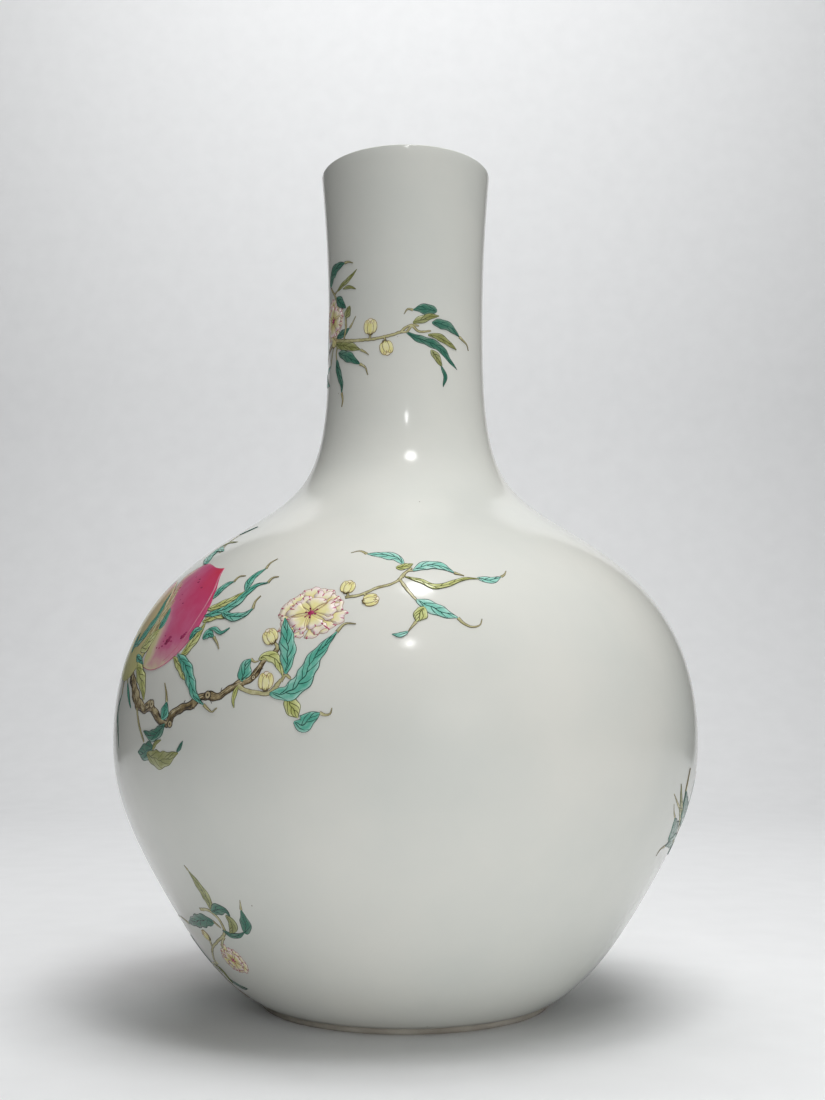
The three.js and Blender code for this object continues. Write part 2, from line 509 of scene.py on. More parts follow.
def seen(column, row):
    """The place on the wall under a pixel of the photograph, or the nearest if the ray misses."""
    pitch = math.radians(CAMERA_PITCH)
    across = (column - AXIS_COLUMN) / FOCAL_PIXELS
    up = (PHOTO_HEIGHT / 2 - row) / FOCAL_PIXELS
    direction = np.array(
        [across, math.cos(pitch) - up * math.sin(pitch), math.sin(pitch) + up * math.cos(pitch)]
    )
    nearest = CAMERA_DISTANCE - BELLY[0] - RAY_MARGIN
    reach = np.linspace(nearest, CAMERA_DISTANCE + BELLY[0] / 3, RAY_STEPS)
    points = np.array([0.0, -CAMERA_DISTANCE, CAMERA_HEIGHT]) + reach[:, None] * direction
    gap = np.hypot(points[:, 0], points[:, 1]) - np.interp(points[:, 2], GLAZED[:, 1], GLAZED[:, 0])
    inside = np.nonzero(gap < 0)[0]
    hit = inside[0] if len(inside) else int(gap.argmin())
    return tuple(snap(points[hit][None])[0])


def camera():
    """The photograph's camera, level left to right and looking slightly up."""
    data = bpy.data.cameras.new("camera")
    data.sensor_fit = "AUTO"
    data.sensor_width = SENSOR_MM
    data.lens = FOCAL_PIXELS / PHOTO_HEIGHT * SENSOR_MM
    data.shift_x = (PHOTO_WIDTH / 2 - AXIS_COLUMN) / PHOTO_HEIGHT
    made = bpy.data.objects.new("camera", data)
    made.location = (0, -CAMERA_DISTANCE * MM, CAMERA_HEIGHT * MM)
    made.rotation_euler = (math.radians(90 + CAMERA_PITCH), 0, 0)
    bpy.context.scene.collection.objects.link(made)
    bpy.context.scene.camera = made


# Meshes


def make_object(name, builder, material):
    """Turns a bmesh into a smooth-shaded object."""
    mesh = bpy.data.meshes.new(name)
    builder.to_mesh(mesh)
    builder.free()
    mesh.polygons.foreach_set("use_smooth", [True] * len(mesh.polygons))
    mesh.materials.append(material)
    made = bpy.data.objects.new(name, mesh)
    bpy.context.scene.collection.objects.link(made)
    return made


def make_piece(name, builder, material, replaced=()):
    """Turns a bmesh into a piece that rides on the vase."""
    made = make_object(name, builder, material)
    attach(made, "root")
    if replaced:
        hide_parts(*replaced)
    return made


def turned(name, outline, material, replaced=(), steps=168):
    """Spins a closed outline in (radius, height) once round the vase's axis."""
    builder = bmesh.new()
    ends = [builder.verts.new((radius * MM, 0, height * MM)) for radius, height in outline]
    on_axis = outline[0][0] == 0
    pairs = zip(ends, ends[1:]) if on_axis else zip(ends, ends[1:] + ends[:1])
    edges = [builder.edges.new(pair) for pair in pairs]
    bmesh.ops.spin(
        builder,
        geom=ends + edges,
        axis=(0, 0, 1),
        cent=(0, 0, 0),
        angle=2 * math.pi,
        steps=steps,
        use_merge=True,
    )
    bmesh.ops.remove_doubles(builder, verts=builder.verts, dist=0.002 * MM)
    bmesh.ops.recalc_face_normals(builder, faces=builder.faces)
    make_piece(name, builder, material, replaced)


def rounded(corner, start, end, steps=5):
    """Points of a soft corner between two neighbours of a corner point."""
    corner, start, end = np.array(corner), np.array(start), np.array(end)
    t = np.linspace(0, 1, steps)[:, None]
    return ((1 - t) ** 2 * start + 2 * (1 - t) * t * corner + t**2 * end).tolist()


def table_between(table, low, high, spacing):
    """Points of an outline table between two heights, about one spacing apart."""
    inside = table[(table[:, 1] > low) & (table[:, 1] < high)]
    length = np.concatenate([[0], np.cumsum(np.linalg.norm(np.diff(inside, axis=0), axis=1))])
    count = max(2, int(length[-1] / spacing))
    at = np.linspace(0, length[-1], count + 1)
    return np.stack([np.interp(at, length, inside[:, i]) for i in (0, 1)], axis=1).tolist()


def lip_curve(outside, inside, crest):
    """Points over the lip: its crisp outer edge, then a longer roll down to the inside."""
    top = outside[0] - LIP_EDGE
    points = []
    for step in range(1, 12):
        turn = math.pi * step / 12
        reach, base = (LIP_EDGE, outside[1]) if step < 6 else (top - inside[0], inside[1])
        points.append((top + reach * math.cos(turn), base + (crest - base) * math.sin(turn)))
    return points


def glaze_coat():
    """The glazed body: outside, lip, inside with its throwing rings, floor and base."""
    crest = MOUTH[1] - LIP_INSET
    outer = table_between(GLAZED, FOOT[1] - 1, crest - LIP_EDGE, OUTSIDE_ROW)
    top = crest - WALLS[-1] / 2
    inner = [
        (radius + THROWING_RIPPLE * math.sin(2 * math.pi * height / THROWING_PITCH), height)
        for radius, height in table_between(INSIDE, FLOOR_HEIGHT + CORNER_RISE, top, INSIDE_ROW)
    ]
    lip = lip_curve(outer[-1], inner[-1], crest)
    wall_foot = inner[0][0]
    corner = (wall_foot - CORNER_RISE, FLOOR_HEIGHT)
    floor = rounded(corner, inner[0], (wall_foot - CORNER_REACH, FLOOR_HEIGHT), 8)
    # From the middle of the base outwards: its shallow dome, a soft corner and the ring's inside.
    recess, under = RECESS_RADIUS, BASE_UNDERSIDE
    outline = [(0, under + RECESS_RISE), (recess / 2, under + RECESS_RISE * 0.9)]
    outline += rounded((recess, under), (recess - 6, under + 0.4), (recess, under - 2))
    outline += [(recess + 0.6, FOOT[1])]
    outline += outer + lip + inner[::-1] + floor[1:] + [(0, FLOOR_HEIGHT - 0.5)]
    turned(
        "glaze_coat",
        outline,
        GLAZE,
        ("base_floor", "lower_belly", "upper_belly", "neck"),
    )


def foot_ring():
    """The unglazed standing edge, with both its edges worn round."""
    outer = FOOT[0] - RING_INSET
    inner = outer - RING_WIDTH
    outline = rounded((inner, 0), (inner - 0.6, RING_EDGE * 2), (inner + RING_EDGE, 0))
    outline += rounded((outer, 0), (outer - RING_EDGE, 0), (outer, RING_EDGE))
    outline += [(FOOT[0] - 0.6, FOOT[1] + 0.2), (inner - 0.9, FOOT[1] + 0.2)]
    turned("foot_ring_edge", outline, BISCUIT, ("foot_ring",))


def slip_beads():
    """The beads of slip that stand inside each seam, and the fillet under the base."""
    seams = {
        "belly_luting_slip": BELLY[1],
        "shoulder_luting_slip": SHOULDER_SEAM,
        "base_luting_slip": FLOOR_HEIGHT,
    }
    for name, height in seams.items():
        middle = height + SLIP / 2
        radius = float(np.interp(middle, INSIDE[:, 1], INSIDE[:, 0]))
        turns = [2 * math.pi * step / 12 for step in range(12)]
        bead = [
            (radius + SLIP_BEAD * math.cos(turn), middle + SLIP_BEAD * math.sin(turn))
            for turn in turns
        ]
        turned(name + "_bead", bead, SLIP_CLAY, (name,), steps=128)
    # The fillet's section, as steps from the corner under the base.
    section = ((1, -3), (-0.6, -1.6), (-2.4, 0.1), (1, 1))
    fillet = [(RECESS_RADIUS + out, BASE_UNDERSIDE + up) for out, up in section]
    turned("foot_luting_slip_fillet", fillet, SLIP_CLAY, ("foot_luting_slip",), steps=128)


# Painting: every stroke is a patch of the wall, raised by the thickness of its enamel

# Drawn lines: how wide they are round a leaf, in its veins and round a tendril.
LEAF_EDGE = 0.3
LEAF_VEIN = 0.54
TENDRIL_EDGE = 0.26
# A leaf's waves and its pairs of side veins come about this far apart.
WAVE_SPACING = 9.0
VEIN_SPACING = 8.5
# How deep the waves are and how far out the veins run, as shares of the leaf's half width.
WAVE_DEPTH = 0.11
VEIN_REACH = 0.93
# How far the midrib and the side veins lie over the leaf's edge lines.
MIDRIB_LIFT = 0.045
VEIN_LIFT = 0.035
# A leaf with a smaller half width than this has no side veins.
NARROW_LEAF = 1.3
# The share by which a drawn line swells and thins along its way.
LINE_SWELL = 0.16
# The layers that knots, twigs and buds lie in.
KNOT_LAYER = 1
TWIG_LAYER = 1
BUD_LAYER = 2


def line_through(places, step_mm):
    """A smooth line on the wall through the places given, as an array of (azimuth, rise)."""
    chart = np.array(places, float)
    gaps = np.linalg.norm(np.diff(wall(chart)[0], axis=0), axis=1)
    knots = np.concatenate([[0], np.cumsum(gaps)])
    count = max(4, int(math.ceil(knots[-1] / step_mm)) + 1)
    at = np.linspace(0, knots[-1], count)
    if len(chart) == 2:
        share = (at / knots[-1])[:, None]
        return chart[0] * (1 - share) + chart[1] * share
    slopes = np.gradient(chart, knots, axis=0)
    index = np.clip(np.searchsorted(knots, at, side="right") - 1, 0, len(knots) - 2)
    width = (knots[index + 1] - knots[index])[:, None]
    t = (at[:, None] - knots[index][:, None]) / width
    return (
        (2 * t**3 - 3 * t**2 + 1) * chart[index]
        + (t**3 - 2 * t**2 + t) * width * slopes[index]
        + (3 * t**2 - 2 * t**3) * chart[index + 1]
        + (t**3 - t**2) * width * slopes[index + 1]
    )


def rails(chart):
    """Points along a line on the wall, and the direction to its left at each."""
    points, normals = wall(chart)
    tangents = np.gradient(points, axis=0)
    left = np.cross(normals, tangents)
    return points, left / np.maximum(np.linalg.norm(left, axis=1), 1e-9)[:, None]


def walk(place, direction, length, bend, steps=6):
    """Places along a curving path from a start: direction 0 is rightward and 90 is upward, and
    it turns left by the bend on the way, all in degrees."""
    azimuth, rise = place
    places = [(azimuth, rise)]
    for step in range(steps):
        angle = math.radians(direction + bend * (step + 0.5) / steps)
        stride = length / steps
        azimuth += stride * math.cos(angle) / float(np.interp(rise, RISE, GLAZED[:, 0]))
        rise += stride * math.sin(angle)
        places.append((azimuth, rise))
    return places


class Brush:
    """Paints one spray. Each enamel in it becomes one piece."""

    def __init__(self, spray, seed):
        self.spray = spray
        self.sheets = {}
        self.random = random.Random(seed)

    def sheet(self, enamel):
        """The mesh for the enamel's next stroke. A full one is put aside, because an operator
        takes longer the larger the mesh that it works in."""
        sheets = self.sheets.setdefault(enamel.name, (enamel, []))[1]
        if not sheets or len(sheets[-1].verts) > SHEET_VERTS:
            sheets.append(bmesh.new())
            sheets[-1].loops.layers.uv.new("stroke")
        return sheets[-1]

    def patch(self, enamel, grid, lift):
        """Lays a grid of points near the wall onto it, raised by the lift in millimetres."""
        rows, columns = grid.shape[:2]
        points, normals = wall(snap(grid))
        raised = ((points + normals * np.asarray(lift)[..., None]) * MM).tolist()
        made = bmesh.ops.create_grid(
            self.sheet(enamel), x_segments=rows - 1, y_segments=columns - 1, size=1, calc_uvs=True
        )
        for vert in made["verts"]:
            row = round((vert.co.x + 1) / 2 * (rows - 1))
            column = round((vert.co.y + 1) / 2 * (columns - 1))
            vert.co = raised[row][column]

    def line(self, enamel, points, width_mm, lift, taper=0.5, fade=0.0):
        """A drawn line through points near the wall, its ends thinner by the taper's share, and
        its far end thinner again by the fade."""
        centre, left = rails(snap(np.asarray(points)))
        share = np.linspace(0, 1, len(centre))
        swell = (1 - taper * (2 * share - 1) ** 2) * (1 - fade * share)
        swell *= 1 + LINE_SWELL * np.sin(share * 9 + self.random.uniform(0, 6))
        half = (width_mm / 2 * swell)[:, None, None] * np.array([-1.0, 1.0])[None, :, None]
        grid = centre[:, None, :] + left[:, None, :] * half
        self.patch(enamel, grid, np.full(grid.shape[:2], lift))

    def edges(self, enamel, centre, left, halves, width_mm, lift, taper):
        """A drawn line along the right and the left edge of a wash."""
        for sign, half in zip((-1, 1), halves):
            self.line(enamel, centre + left * (sign * half)[:, None], width_mm, lift, taper)

    def ribbon(self, enamel, centre, left, halves, lift, columns=5, dome=0.03):
        """A wash between its right and left edges, fuller along its middle."""
        right_half, left_half = halves
        across = np.linspace(-1, 1, columns)[None, :]
        reach = np.where(across < 0, right_half[:, None], left_half[:, None]) * across
        grid = centre[:, None, :] + left[:, None, :] * reach[..., None]
        self.patch(enamel, grid, lift + dome * (1 - across**2) * np.ones_like(reach))

    def finish(self):
        """Makes a piece of each enamel, its thickness closed down into the glaze."""
        for enamel, sheets in self.sheets.values():
            whole = sheets[0]
            for sheet in sheets[1:]:
                mesh = bpy.data.meshes.new("sheet")
                sheet.to_mesh(mesh)
                sheet.free()
                whole.from_mesh(mesh)
                bpy.data.meshes.remove(mesh)
            made = make_piece(f"{self.spray}_{enamel.name}", whole, enamel)
            body = made.modifiers.new("thickness", "SOLIDIFY")
            body.thickness = ENAMEL_DEPTH * MM
            body.offset = -1


def layer_lift(layer):
    """How far a layer of enamel lies above the glaze, so that strokes that cross don't meet."""
    return ENAMEL_LIFT + layer * LAYER_LIFT


def leaf(brush, enamel, half_width, blade, tail=(), layer=0):
    """A long leaf: a waved blade, thin at its margins, with a zigzag midrib and bold side veins,
    and a tail where its tip turns over and shows the underside."""
    rng = brush.random
    drawn = LINES.get(enamel.name, INK)
    rough = wall(np.array(blade, float))[0]
    length = float(np.linalg.norm(np.diff(rough, axis=0), axis=1).sum())
    centre, left = rails(line_through(blade, min(1.3, length / 18)))
    count = len(centre)
    share = np.linspace(0, 1, count)
    fullness = rng.uniform(0.7, 0.85)
    shape = np.sin(math.pi * np.clip(share, 0.01, 0.99) ** fullness) ** 0.85
    lean = rng.uniform(-0.1, 0.1)
    waves = max(1.5, length / WAVE_SPACING)
    halves = []
    for sign in (-1, 1):
        wave = 1 + WAVE_DEPTH * np.sin(2 * math.pi * waves * share + rng.uniform(0, 6.28))
        halves.append(half_width * shape * wave * (1 + sign * lean))
    base = layer_lift(layer)
    ink = base + INK_LIFT
    brush.ribbon(enamel, centre, left, halves, base, columns=7)
    brush.edges(drawn, centre, left, halves, LEAF_EDGE, ink, 0.25)
    veins = max(2, round(length / VEIN_SPACING))
    sway = 0.1 * half_width * np.sin(2 * math.pi * veins * share)[:, None]
    midrib = centre + left * sway
    midrib_width = min(0.58, 0.2 * half_width + 0.14)
    brush.line(drawn, midrib[1:-1], midrib_width, ink + MIDRIB_LIFT, taper=0.4, fade=0.4)
    for index in range(veins):
        for side, sign in enumerate((-1, 1)):
            start = (index + 0.25 + rng.uniform(-0.1, 0.1) + 0.45 * side) / (veins + 0.7)
            reach = min(0.97 - start, rng.uniform(1.1, 1.6) * 1.2 * half_width / length + 0.01)
            if reach < 0.03 or half_width < NARROW_LEAF:
                continue
            points = []
            for step in range(5):
                along = (start + reach * step / 4) * (count - 1)
                low = min(int(along), count - 2)
                part = along - low
                out = sign * VEIN_REACH * (step / 4) ** 0.8
                ends = [centre[i] + left[i] * halves[side][i] * out for i in (low, low + 1)]
                points.append(ends[0] * (1 - part) + ends[1] * part)
            brush.line(drawn, points, LEAF_VEIN, ink + VEIN_LIFT, taper=0.3, fade=0.6)
    if tail:
        tendril(brush, [blade[-1], *tail], min(0.85, half_width * 0.33), 0.16, layer, TWIG)


def tendril(brush, places, start_half, end_half, layer, enamel):
    """The thin curled end of a leaf, or a fine stalk, drawn out between two thin lines."""
    centre, left = rails(line_through(places, 1.1))
    half = end_half + (start_half - end_half) * np.linspace(1, 0, len(centre)) ** 1.3
    base = layer_lift(layer)
    brush.ribbon(enamel, centre, left, (half, half), base, columns=3)
    drawn = LINES.get(enamel.name, INK)
    brush.edges(drawn, centre, left, (half, half), TENDRIL_EDGE, base + INK_LIFT, 0.3)


def limb(brush, places, start_half, end_half, enamel, layer=0, knobbly=0.25, drawn_mm=0.45):
    """A stalk, twig or branch: a tapering wash with knobbly edges drawn round it."""
    rng = brush.random
    centre, left = rails(line_through(places, 1.2))
    half = np.linspace(start_half, end_half, len(centre))
    # The far end is rounded off.
    half[-2:] *= (0.85, 0.45)
    # Swellings are as long as the limb is thick.
    window = np.hanning(2 * round(start_half * 0.6) + 3)[1:-1] if start_half > 1 else np.ones(1)
    window = 0.6 * window / np.linalg.norm(window)
    halves = []
    for sign in (-1, 1):
        knobs = np.convolve([rng.uniform(-1, 1) for _ in centre], window, mode="same")
        halves.append(half * (1 + knobbly * 2 * knobs))
    base = layer_lift(layer)
    drawn = LINES.get(enamel.name, INK)
    brush.ribbon(enamel, centre, left, halves, base)
    brush.edges(drawn, centre, left, halves, drawn_mm, base + INK_LIFT, 0.2)
    return centre, left, half


def branch(brush, places, start_half, end_half):
    """A gnarled branch: bark hatched along it in short strokes between pale lights, with spurs
    where twigs broke."""
    rng = brush.random
    centre, left, half = limb(
        brush, places, start_half, end_half, BARK, knobbly=0.3, drawn_mm=0.55
    )
    base = layer_lift(0) + INK_LIFT + 0.04
    total = len(centre)
    for index in range(int(total * 0.95)):
        lit = index % 3 == 0
        start = rng.randrange(1, total - 4)
        run = rng.randrange(3, 6)
        offset = rng.uniform(0.0, 0.5) if lit else rng.choice((-1, 1)) * rng.uniform(0.3, 0.85)
        points = [
            centre[i] + left[i] * half[i] * offset * (1 - 0.08 * (i - start))
            for i in range(start, min(total, start + run))
        ]
        width = rng.uniform(0.4, 0.7) if lit else rng.uniform(0.25, 0.45)
        brush.line(BARK_LIGHT if lit else INK, points, width, base + 0.02 * (not lit), taper=0.7)
    for _ in range(total // 8):
        at = rng.randrange(1, total - 2)
        sign = rng.choice((-1, 1))
        root = centre[at] + left[at] * sign * half[at] * 0.8
        lean = centre[at + 1] - centre[at]
        reach = rng.uniform(1.2, 2.2)
        points = [root + left[at] * sign * reach * s + lean * s**2 for s in (0, 0.5, 1)]
        brush.line(INK, points, 0.6, base, taper=0.3, fade=0.6)


def axes_at(place):
    """The point and the rightward and upward directions at a place on the wall."""
    point, normal = wall(np.array(place, float))
    right = np.array([math.cos(place[0]), math.sin(place[0]), 0.0])
    return point, right, np.cross(normal, right)


def turned_axes(right, up, degrees):
    """The rightward and upward directions, turned to the left."""
    turn = math.radians(degrees)
    return (
        math.cos(turn) * right + math.sin(turn) * up,
        -math.sin(turn) * right + math.cos(turn) * up,
    )


def stretched(right, up, stretch, tilt):
    """Two directions for a drawing that is longer by the stretch along a tilted line."""
    turn = math.radians(tilt)
    far, near = turned_axes(right, up, tilt)
    return (
        stretch * math.cos(turn) * far - math.sin(turn) / stretch * near,
        stretch * math.sin(turn) * far + math.cos(turn) / stretch * near,
    )


def ring(brush, enamel, point, right, up, radius, width_mm, lift, squash=1.0):
    """A closed drawn line."""
    turn = np.linspace(0, 2 * math.pi, 19)[:, None]
    points = point + radius * (np.cos(turn) * right * squash + np.sin(turn) * up)
    brush.line(enamel, points, width_mm, lift, taper=0.0)


def knot(brush, place, size):
    """A scarred knot in the bark: a pale eye with a dark pupil, ringed in ink."""
    point, right, up = axes_at(place)
    lift = layer_lift(KNOT_LAYER) + 0.05
    disc(brush, BARK_LIGHT, point, right, up, size * 0.9, lift, dome=0.02)
    ring(brush, INK, point, right, up, size, 0.5, lift + 0.03)
    disc(brush, INK, point, right, up, size * 0.36, lift + 0.04, dome=0.01, squash=0.7)


def disc(brush, enamel, point, right, up, radius, lift, dome=0.08, squash=1.0, rows=9, columns=7):
    """A round dab of enamel, fuller in the middle."""
    # The outermost rows stop just short of the edge, so that their faces keep some width.
    along = np.sin(np.linspace(-math.pi / 2, math.pi / 2, rows) * 0.995)[:, None]
    across = np.linspace(-1, 1, columns)[None, :]
    x = np.sqrt(1 - along**2) * across * squash
    y = along * np.ones_like(x)
    # Rows go up and columns to the left, which faces the patch outwards.
    grid = point + radius * (-x[..., None] * right + y[..., None] * up)
    brush.patch(enamel, grid, lift + dome * np.clip(1 - (x / squash) ** 2 - y**2, 0, 1))


def dot(brush, enamel, point, right, up, radius, lift):
    """A small dab, which has few faces because there are hundreds."""
    disc(brush, enamel, point, right, up, radius, lift, dome=0.02, rows=5, columns=4)


def bud(brush, place, radius, direction):
    """A plump bud that points in a direction: three petals folded round a rose-white tip, with a
    small calyx below."""
    point, right, up = axes_at(place)
    lift = layer_lift(BUD_LAYER)
    across, along = turned_axes(right, up, direction - 90)
    # Each lobe: its enamel, how far it sits across and along, its size and its slimness.
    lobes = (
        (PETAL, 0.02, 0.5, 0.52, 0.9), (BUD, 0.42, -0.02, 0.84, 0.58),
        (BUD, -0.42, -0.02, 0.86, 0.56), (BUD, 0.02, -0.2, 0.82, 0.52),
    )
    for index, (enamel, x, y, size, slim) in enumerate(lobes):
        middle = point + radius * (x * across + y * along)
        level = lift + 0.035 * index
        disc(brush, enamel, middle, across, along, size * radius, level, 0.02, slim)
        ring(brush, BUD_LINE, middle, across, along, size * radius, 0.3, level + 0.015, slim)
    # The marks on the tip and the calyx lie over all the lobes.
    level = lift + 0.16
    steps = np.array([0.0, 0.5, 1.0])[:, None]
    for x, y in ((-0.45, 0.72), (0.08, 0.58), (0.5, 0.68)):
        top = point + radius * (x * across + y * along)
        mark = top - radius * 0.32 * along * steps
        brush.line(DEEP_ROSE, mark, 0.4, level, taper=0.3, fade=0.7)
    for x in (-0.4, -0.1, 0.18, 0.44):
        foot = point + radius * (0.4 * x * across - 1.12 * along)
        sepal = foot + radius * (0.7 * x * across + 0.4 * along) * steps
        brush.line(TWIG_LINE, sepal, 0.55, level, taper=0.2, fade=0.7)


def petal(brush, centre, right, up, angle, spread, inner, outer, lift, scale):
    """One petal seen from above: narrow at its foot, broad, with a notched and waved edge that
    is touched with rose."""
    rng = brush.random
    along = np.linspace(0, 1, 5)[:, None]
    across = np.linspace(-1, 1, 7)[None, :]
    notch = rng.uniform(0.07, 0.18)
    edge = 1 - 0.22 * across**4 - notch * np.exp(-(((across - rng.uniform(-0.3, 0.3)) / 0.25) ** 2))
    edge = edge + 0.04 * np.sin(across * 6 + rng.uniform(0, 6))
    radius = inner + (outer - inner) * along * edge
    fan = angle + across * spread * (0.3 + 0.7 * along**0.8)
    grid = centre + radius[..., None] * (
        np.cos(fan)[..., None] * right + np.sin(fan)[..., None] * up
    )
    brush.patch(PETAL, grid, lift + 0.03 * (1 - across**2) * np.sin(math.pi * along))
    rim = np.concatenate([grid[:, 0], grid[-1, 1:-1], grid[::-1, -1]])
    brush.line(PETAL_LINE, rim, 0.25, lift + INK_LIFT, taper=0.2)
    for column in rng.sample((1, 3, 5), 2):
        share = np.linspace(0, rng.uniform(0.3, 0.5), 4)[:, None]
        stroke = grid[-1, column] * (1 - share) + grid[2, column] * share
        brush.line(ROSE, stroke, scale * rng.uniform(0.65, 1.05), lift + INK_LIFT + 0.03, 0.3, 0.7)


def blossom(brush, place, radius, stretch=1.0, tilt=0.0):
    """A double peach blossom: ruffled rings of petals round a rose centre with its anthers."""
    rng = brush.random
    point, right, up = axes_at(place)
    right, up = stretched(right, up, stretch, tilt)
    base = layer_lift(0)
    turn = rng.uniform(0, 1)
    scale = radius / 17.0
    # Each ring: petals, where they start and end, how wide they open, and how high they lie.
    rings = ((12, 0.5, 1.0, 1.2, 0.0), (8, 0.1, 0.84, 0.84, 0.07), (5, 0.08, 0.7, 0.92, 0.14))
    disc(brush, PETAL, point, right, up, 0.62 * radius, base - 0.015, 0.01)
    for count, inner, outer, opening, raised in rings:
        for index in range(count):
            angle = turn + 2 * math.pi * (index + 0.37 * (count == 8)) / count
            angle += rng.uniform(-0.3, 0.3) / count * 2
            reach = outer * rng.uniform(0.86, 1.08)
            spread = math.pi / count * opening * rng.uniform(0.8, 1.2)
            petal(
                brush, point, right, up, angle, spread, inner * radius, reach * radius,
                base + raised + 0.012 * (index % 3), scale,
            )
    # The centre lies over the innermost ring of petals.
    centre_lift = base + 0.24
    dot(brush, ROSE, point, right, up, 0.085 * radius, centre_lift)
    for index in range(6):
        angle = turn + 2 * math.pi * (index + 0.5) / 6 + rng.uniform(-0.2, 0.2)
        reach = radius * rng.uniform(0.14, 0.19)
        out = math.cos(angle) * right + math.sin(angle) * up
        points = point + out * reach * np.linspace(0.3, 1, 3)[:, None]
        brush.line(ROSE, points, 0.4 * scale, centre_lift, taper=0.2)
        dot(brush, DEEP_ROSE, point + out * reach, right, up, 0.5 * scale, centre_lift + INK_LIFT)


def peach(brush, right_edge, left_edge, enamel=PEACH, layer=1, drawn=ROSE):
    """A peach between its two edges, each drawn from the stalk to the tip, seen from outside."""
    rows, columns = 34, 27
    edges = []
    for edge in (right_edge, left_edge):
        dense = line_through(edge, 0.8)
        share = np.linspace(0, 1, len(dense))
        # Rows crowd towards both ends, where the outline turns fastest.
        at = (1 - np.cos(np.linspace(0, math.pi, rows))) / 2
        edges.append(np.stack([np.interp(at, share, dense[:, i]) for i in (0, 1)], axis=1))
    across = np.linspace(0, 1, columns)[None, :, None]
    grid = wall(edges[0][:, None, :] * (1 - across) + edges[1][:, None, :] * across)[0]
    base = layer_lift(layer)
    fullness = 0.04 * np.sin(math.pi * across[..., 0]) * np.ones(grid.shape[:2])
    brush.patch(enamel, grid, base + fullness)
    for column in (0, -1):
        brush.line(drawn, grid[:, column], 0.36, base + INK_LIFT, taper=0.2)
    crease = [grid[row, 2] for row in range(rows // 3, rows - 2)]
    brush.line(PALE_ROSE if enamel is PEACH else CREAM, crease, 1.2, base + 0.04, taper=0.8)
    return grid


def specks(brush, points, radii, layer=1, widen=1.0):
    """Dots of deeper rose pounced on to the ripe skin."""
    for point, radius in zip(points, radii):
        place = snap(np.asarray(point)[None])[0]
        centre, right, up = axes_at(place)
        dot(brush, CRIMSON, centre, right * widen, up, radius, layer_lift(layer) + 0.05)


def grown_peach(brush, stalk, direction, length, width, layer=1, enamel=PEACH):
    """A peach hanging from its stalk in a direction, made by formula for the unseen sides."""
    rng = brush.random
    point, right, up = axes_at(stalk)
    along, left = turned_axes(right, up, direction)
    edges = []
    for sign in (-1, 1):
        points = []
        for step in range(15):
            angle = math.pi * (step / 14 - 0.5)
            tip = max(0.0, 1 - (math.pi / 2 - angle) / 0.75)
            height = (math.sin(angle) + 1) / 2 * 0.9 + 0.1 * tip**1.5
            side = sign * math.cos(angle) * (1 + 0.06 * sign)
            points.append(point + along * length * height + left * width / 2 * side)
        chart = snap(np.array(points))
        chart[:, 0] = stalk[0] + (chart[:, 0] - stalk[0] + math.pi) % (2 * math.pi) - math.pi
        edges.append(chart)
    grid = peach(brush, edges[0], edges[1], enamel, layer, ROSE if enamel is PEACH else OLIVE_LINE)
    if enamel is not PEACH:
        return
    points, radii = [], []
    for _ in range(5):
        row, column = rng.randrange(8, 26), rng.randrange(5, 22)
        for _ in range(rng.randrange(2, 6)):
            step = (rng.randrange(-1, 2), rng.randrange(-2, 3))
            points.append(grid[row + step[0], column + step[1]])
            radii.append(rng.uniform(0.35, 0.9))
    specks(brush, points, radii, layer)


# The sprays that the photograph shows, by pixels of its 825 x 1100 frame

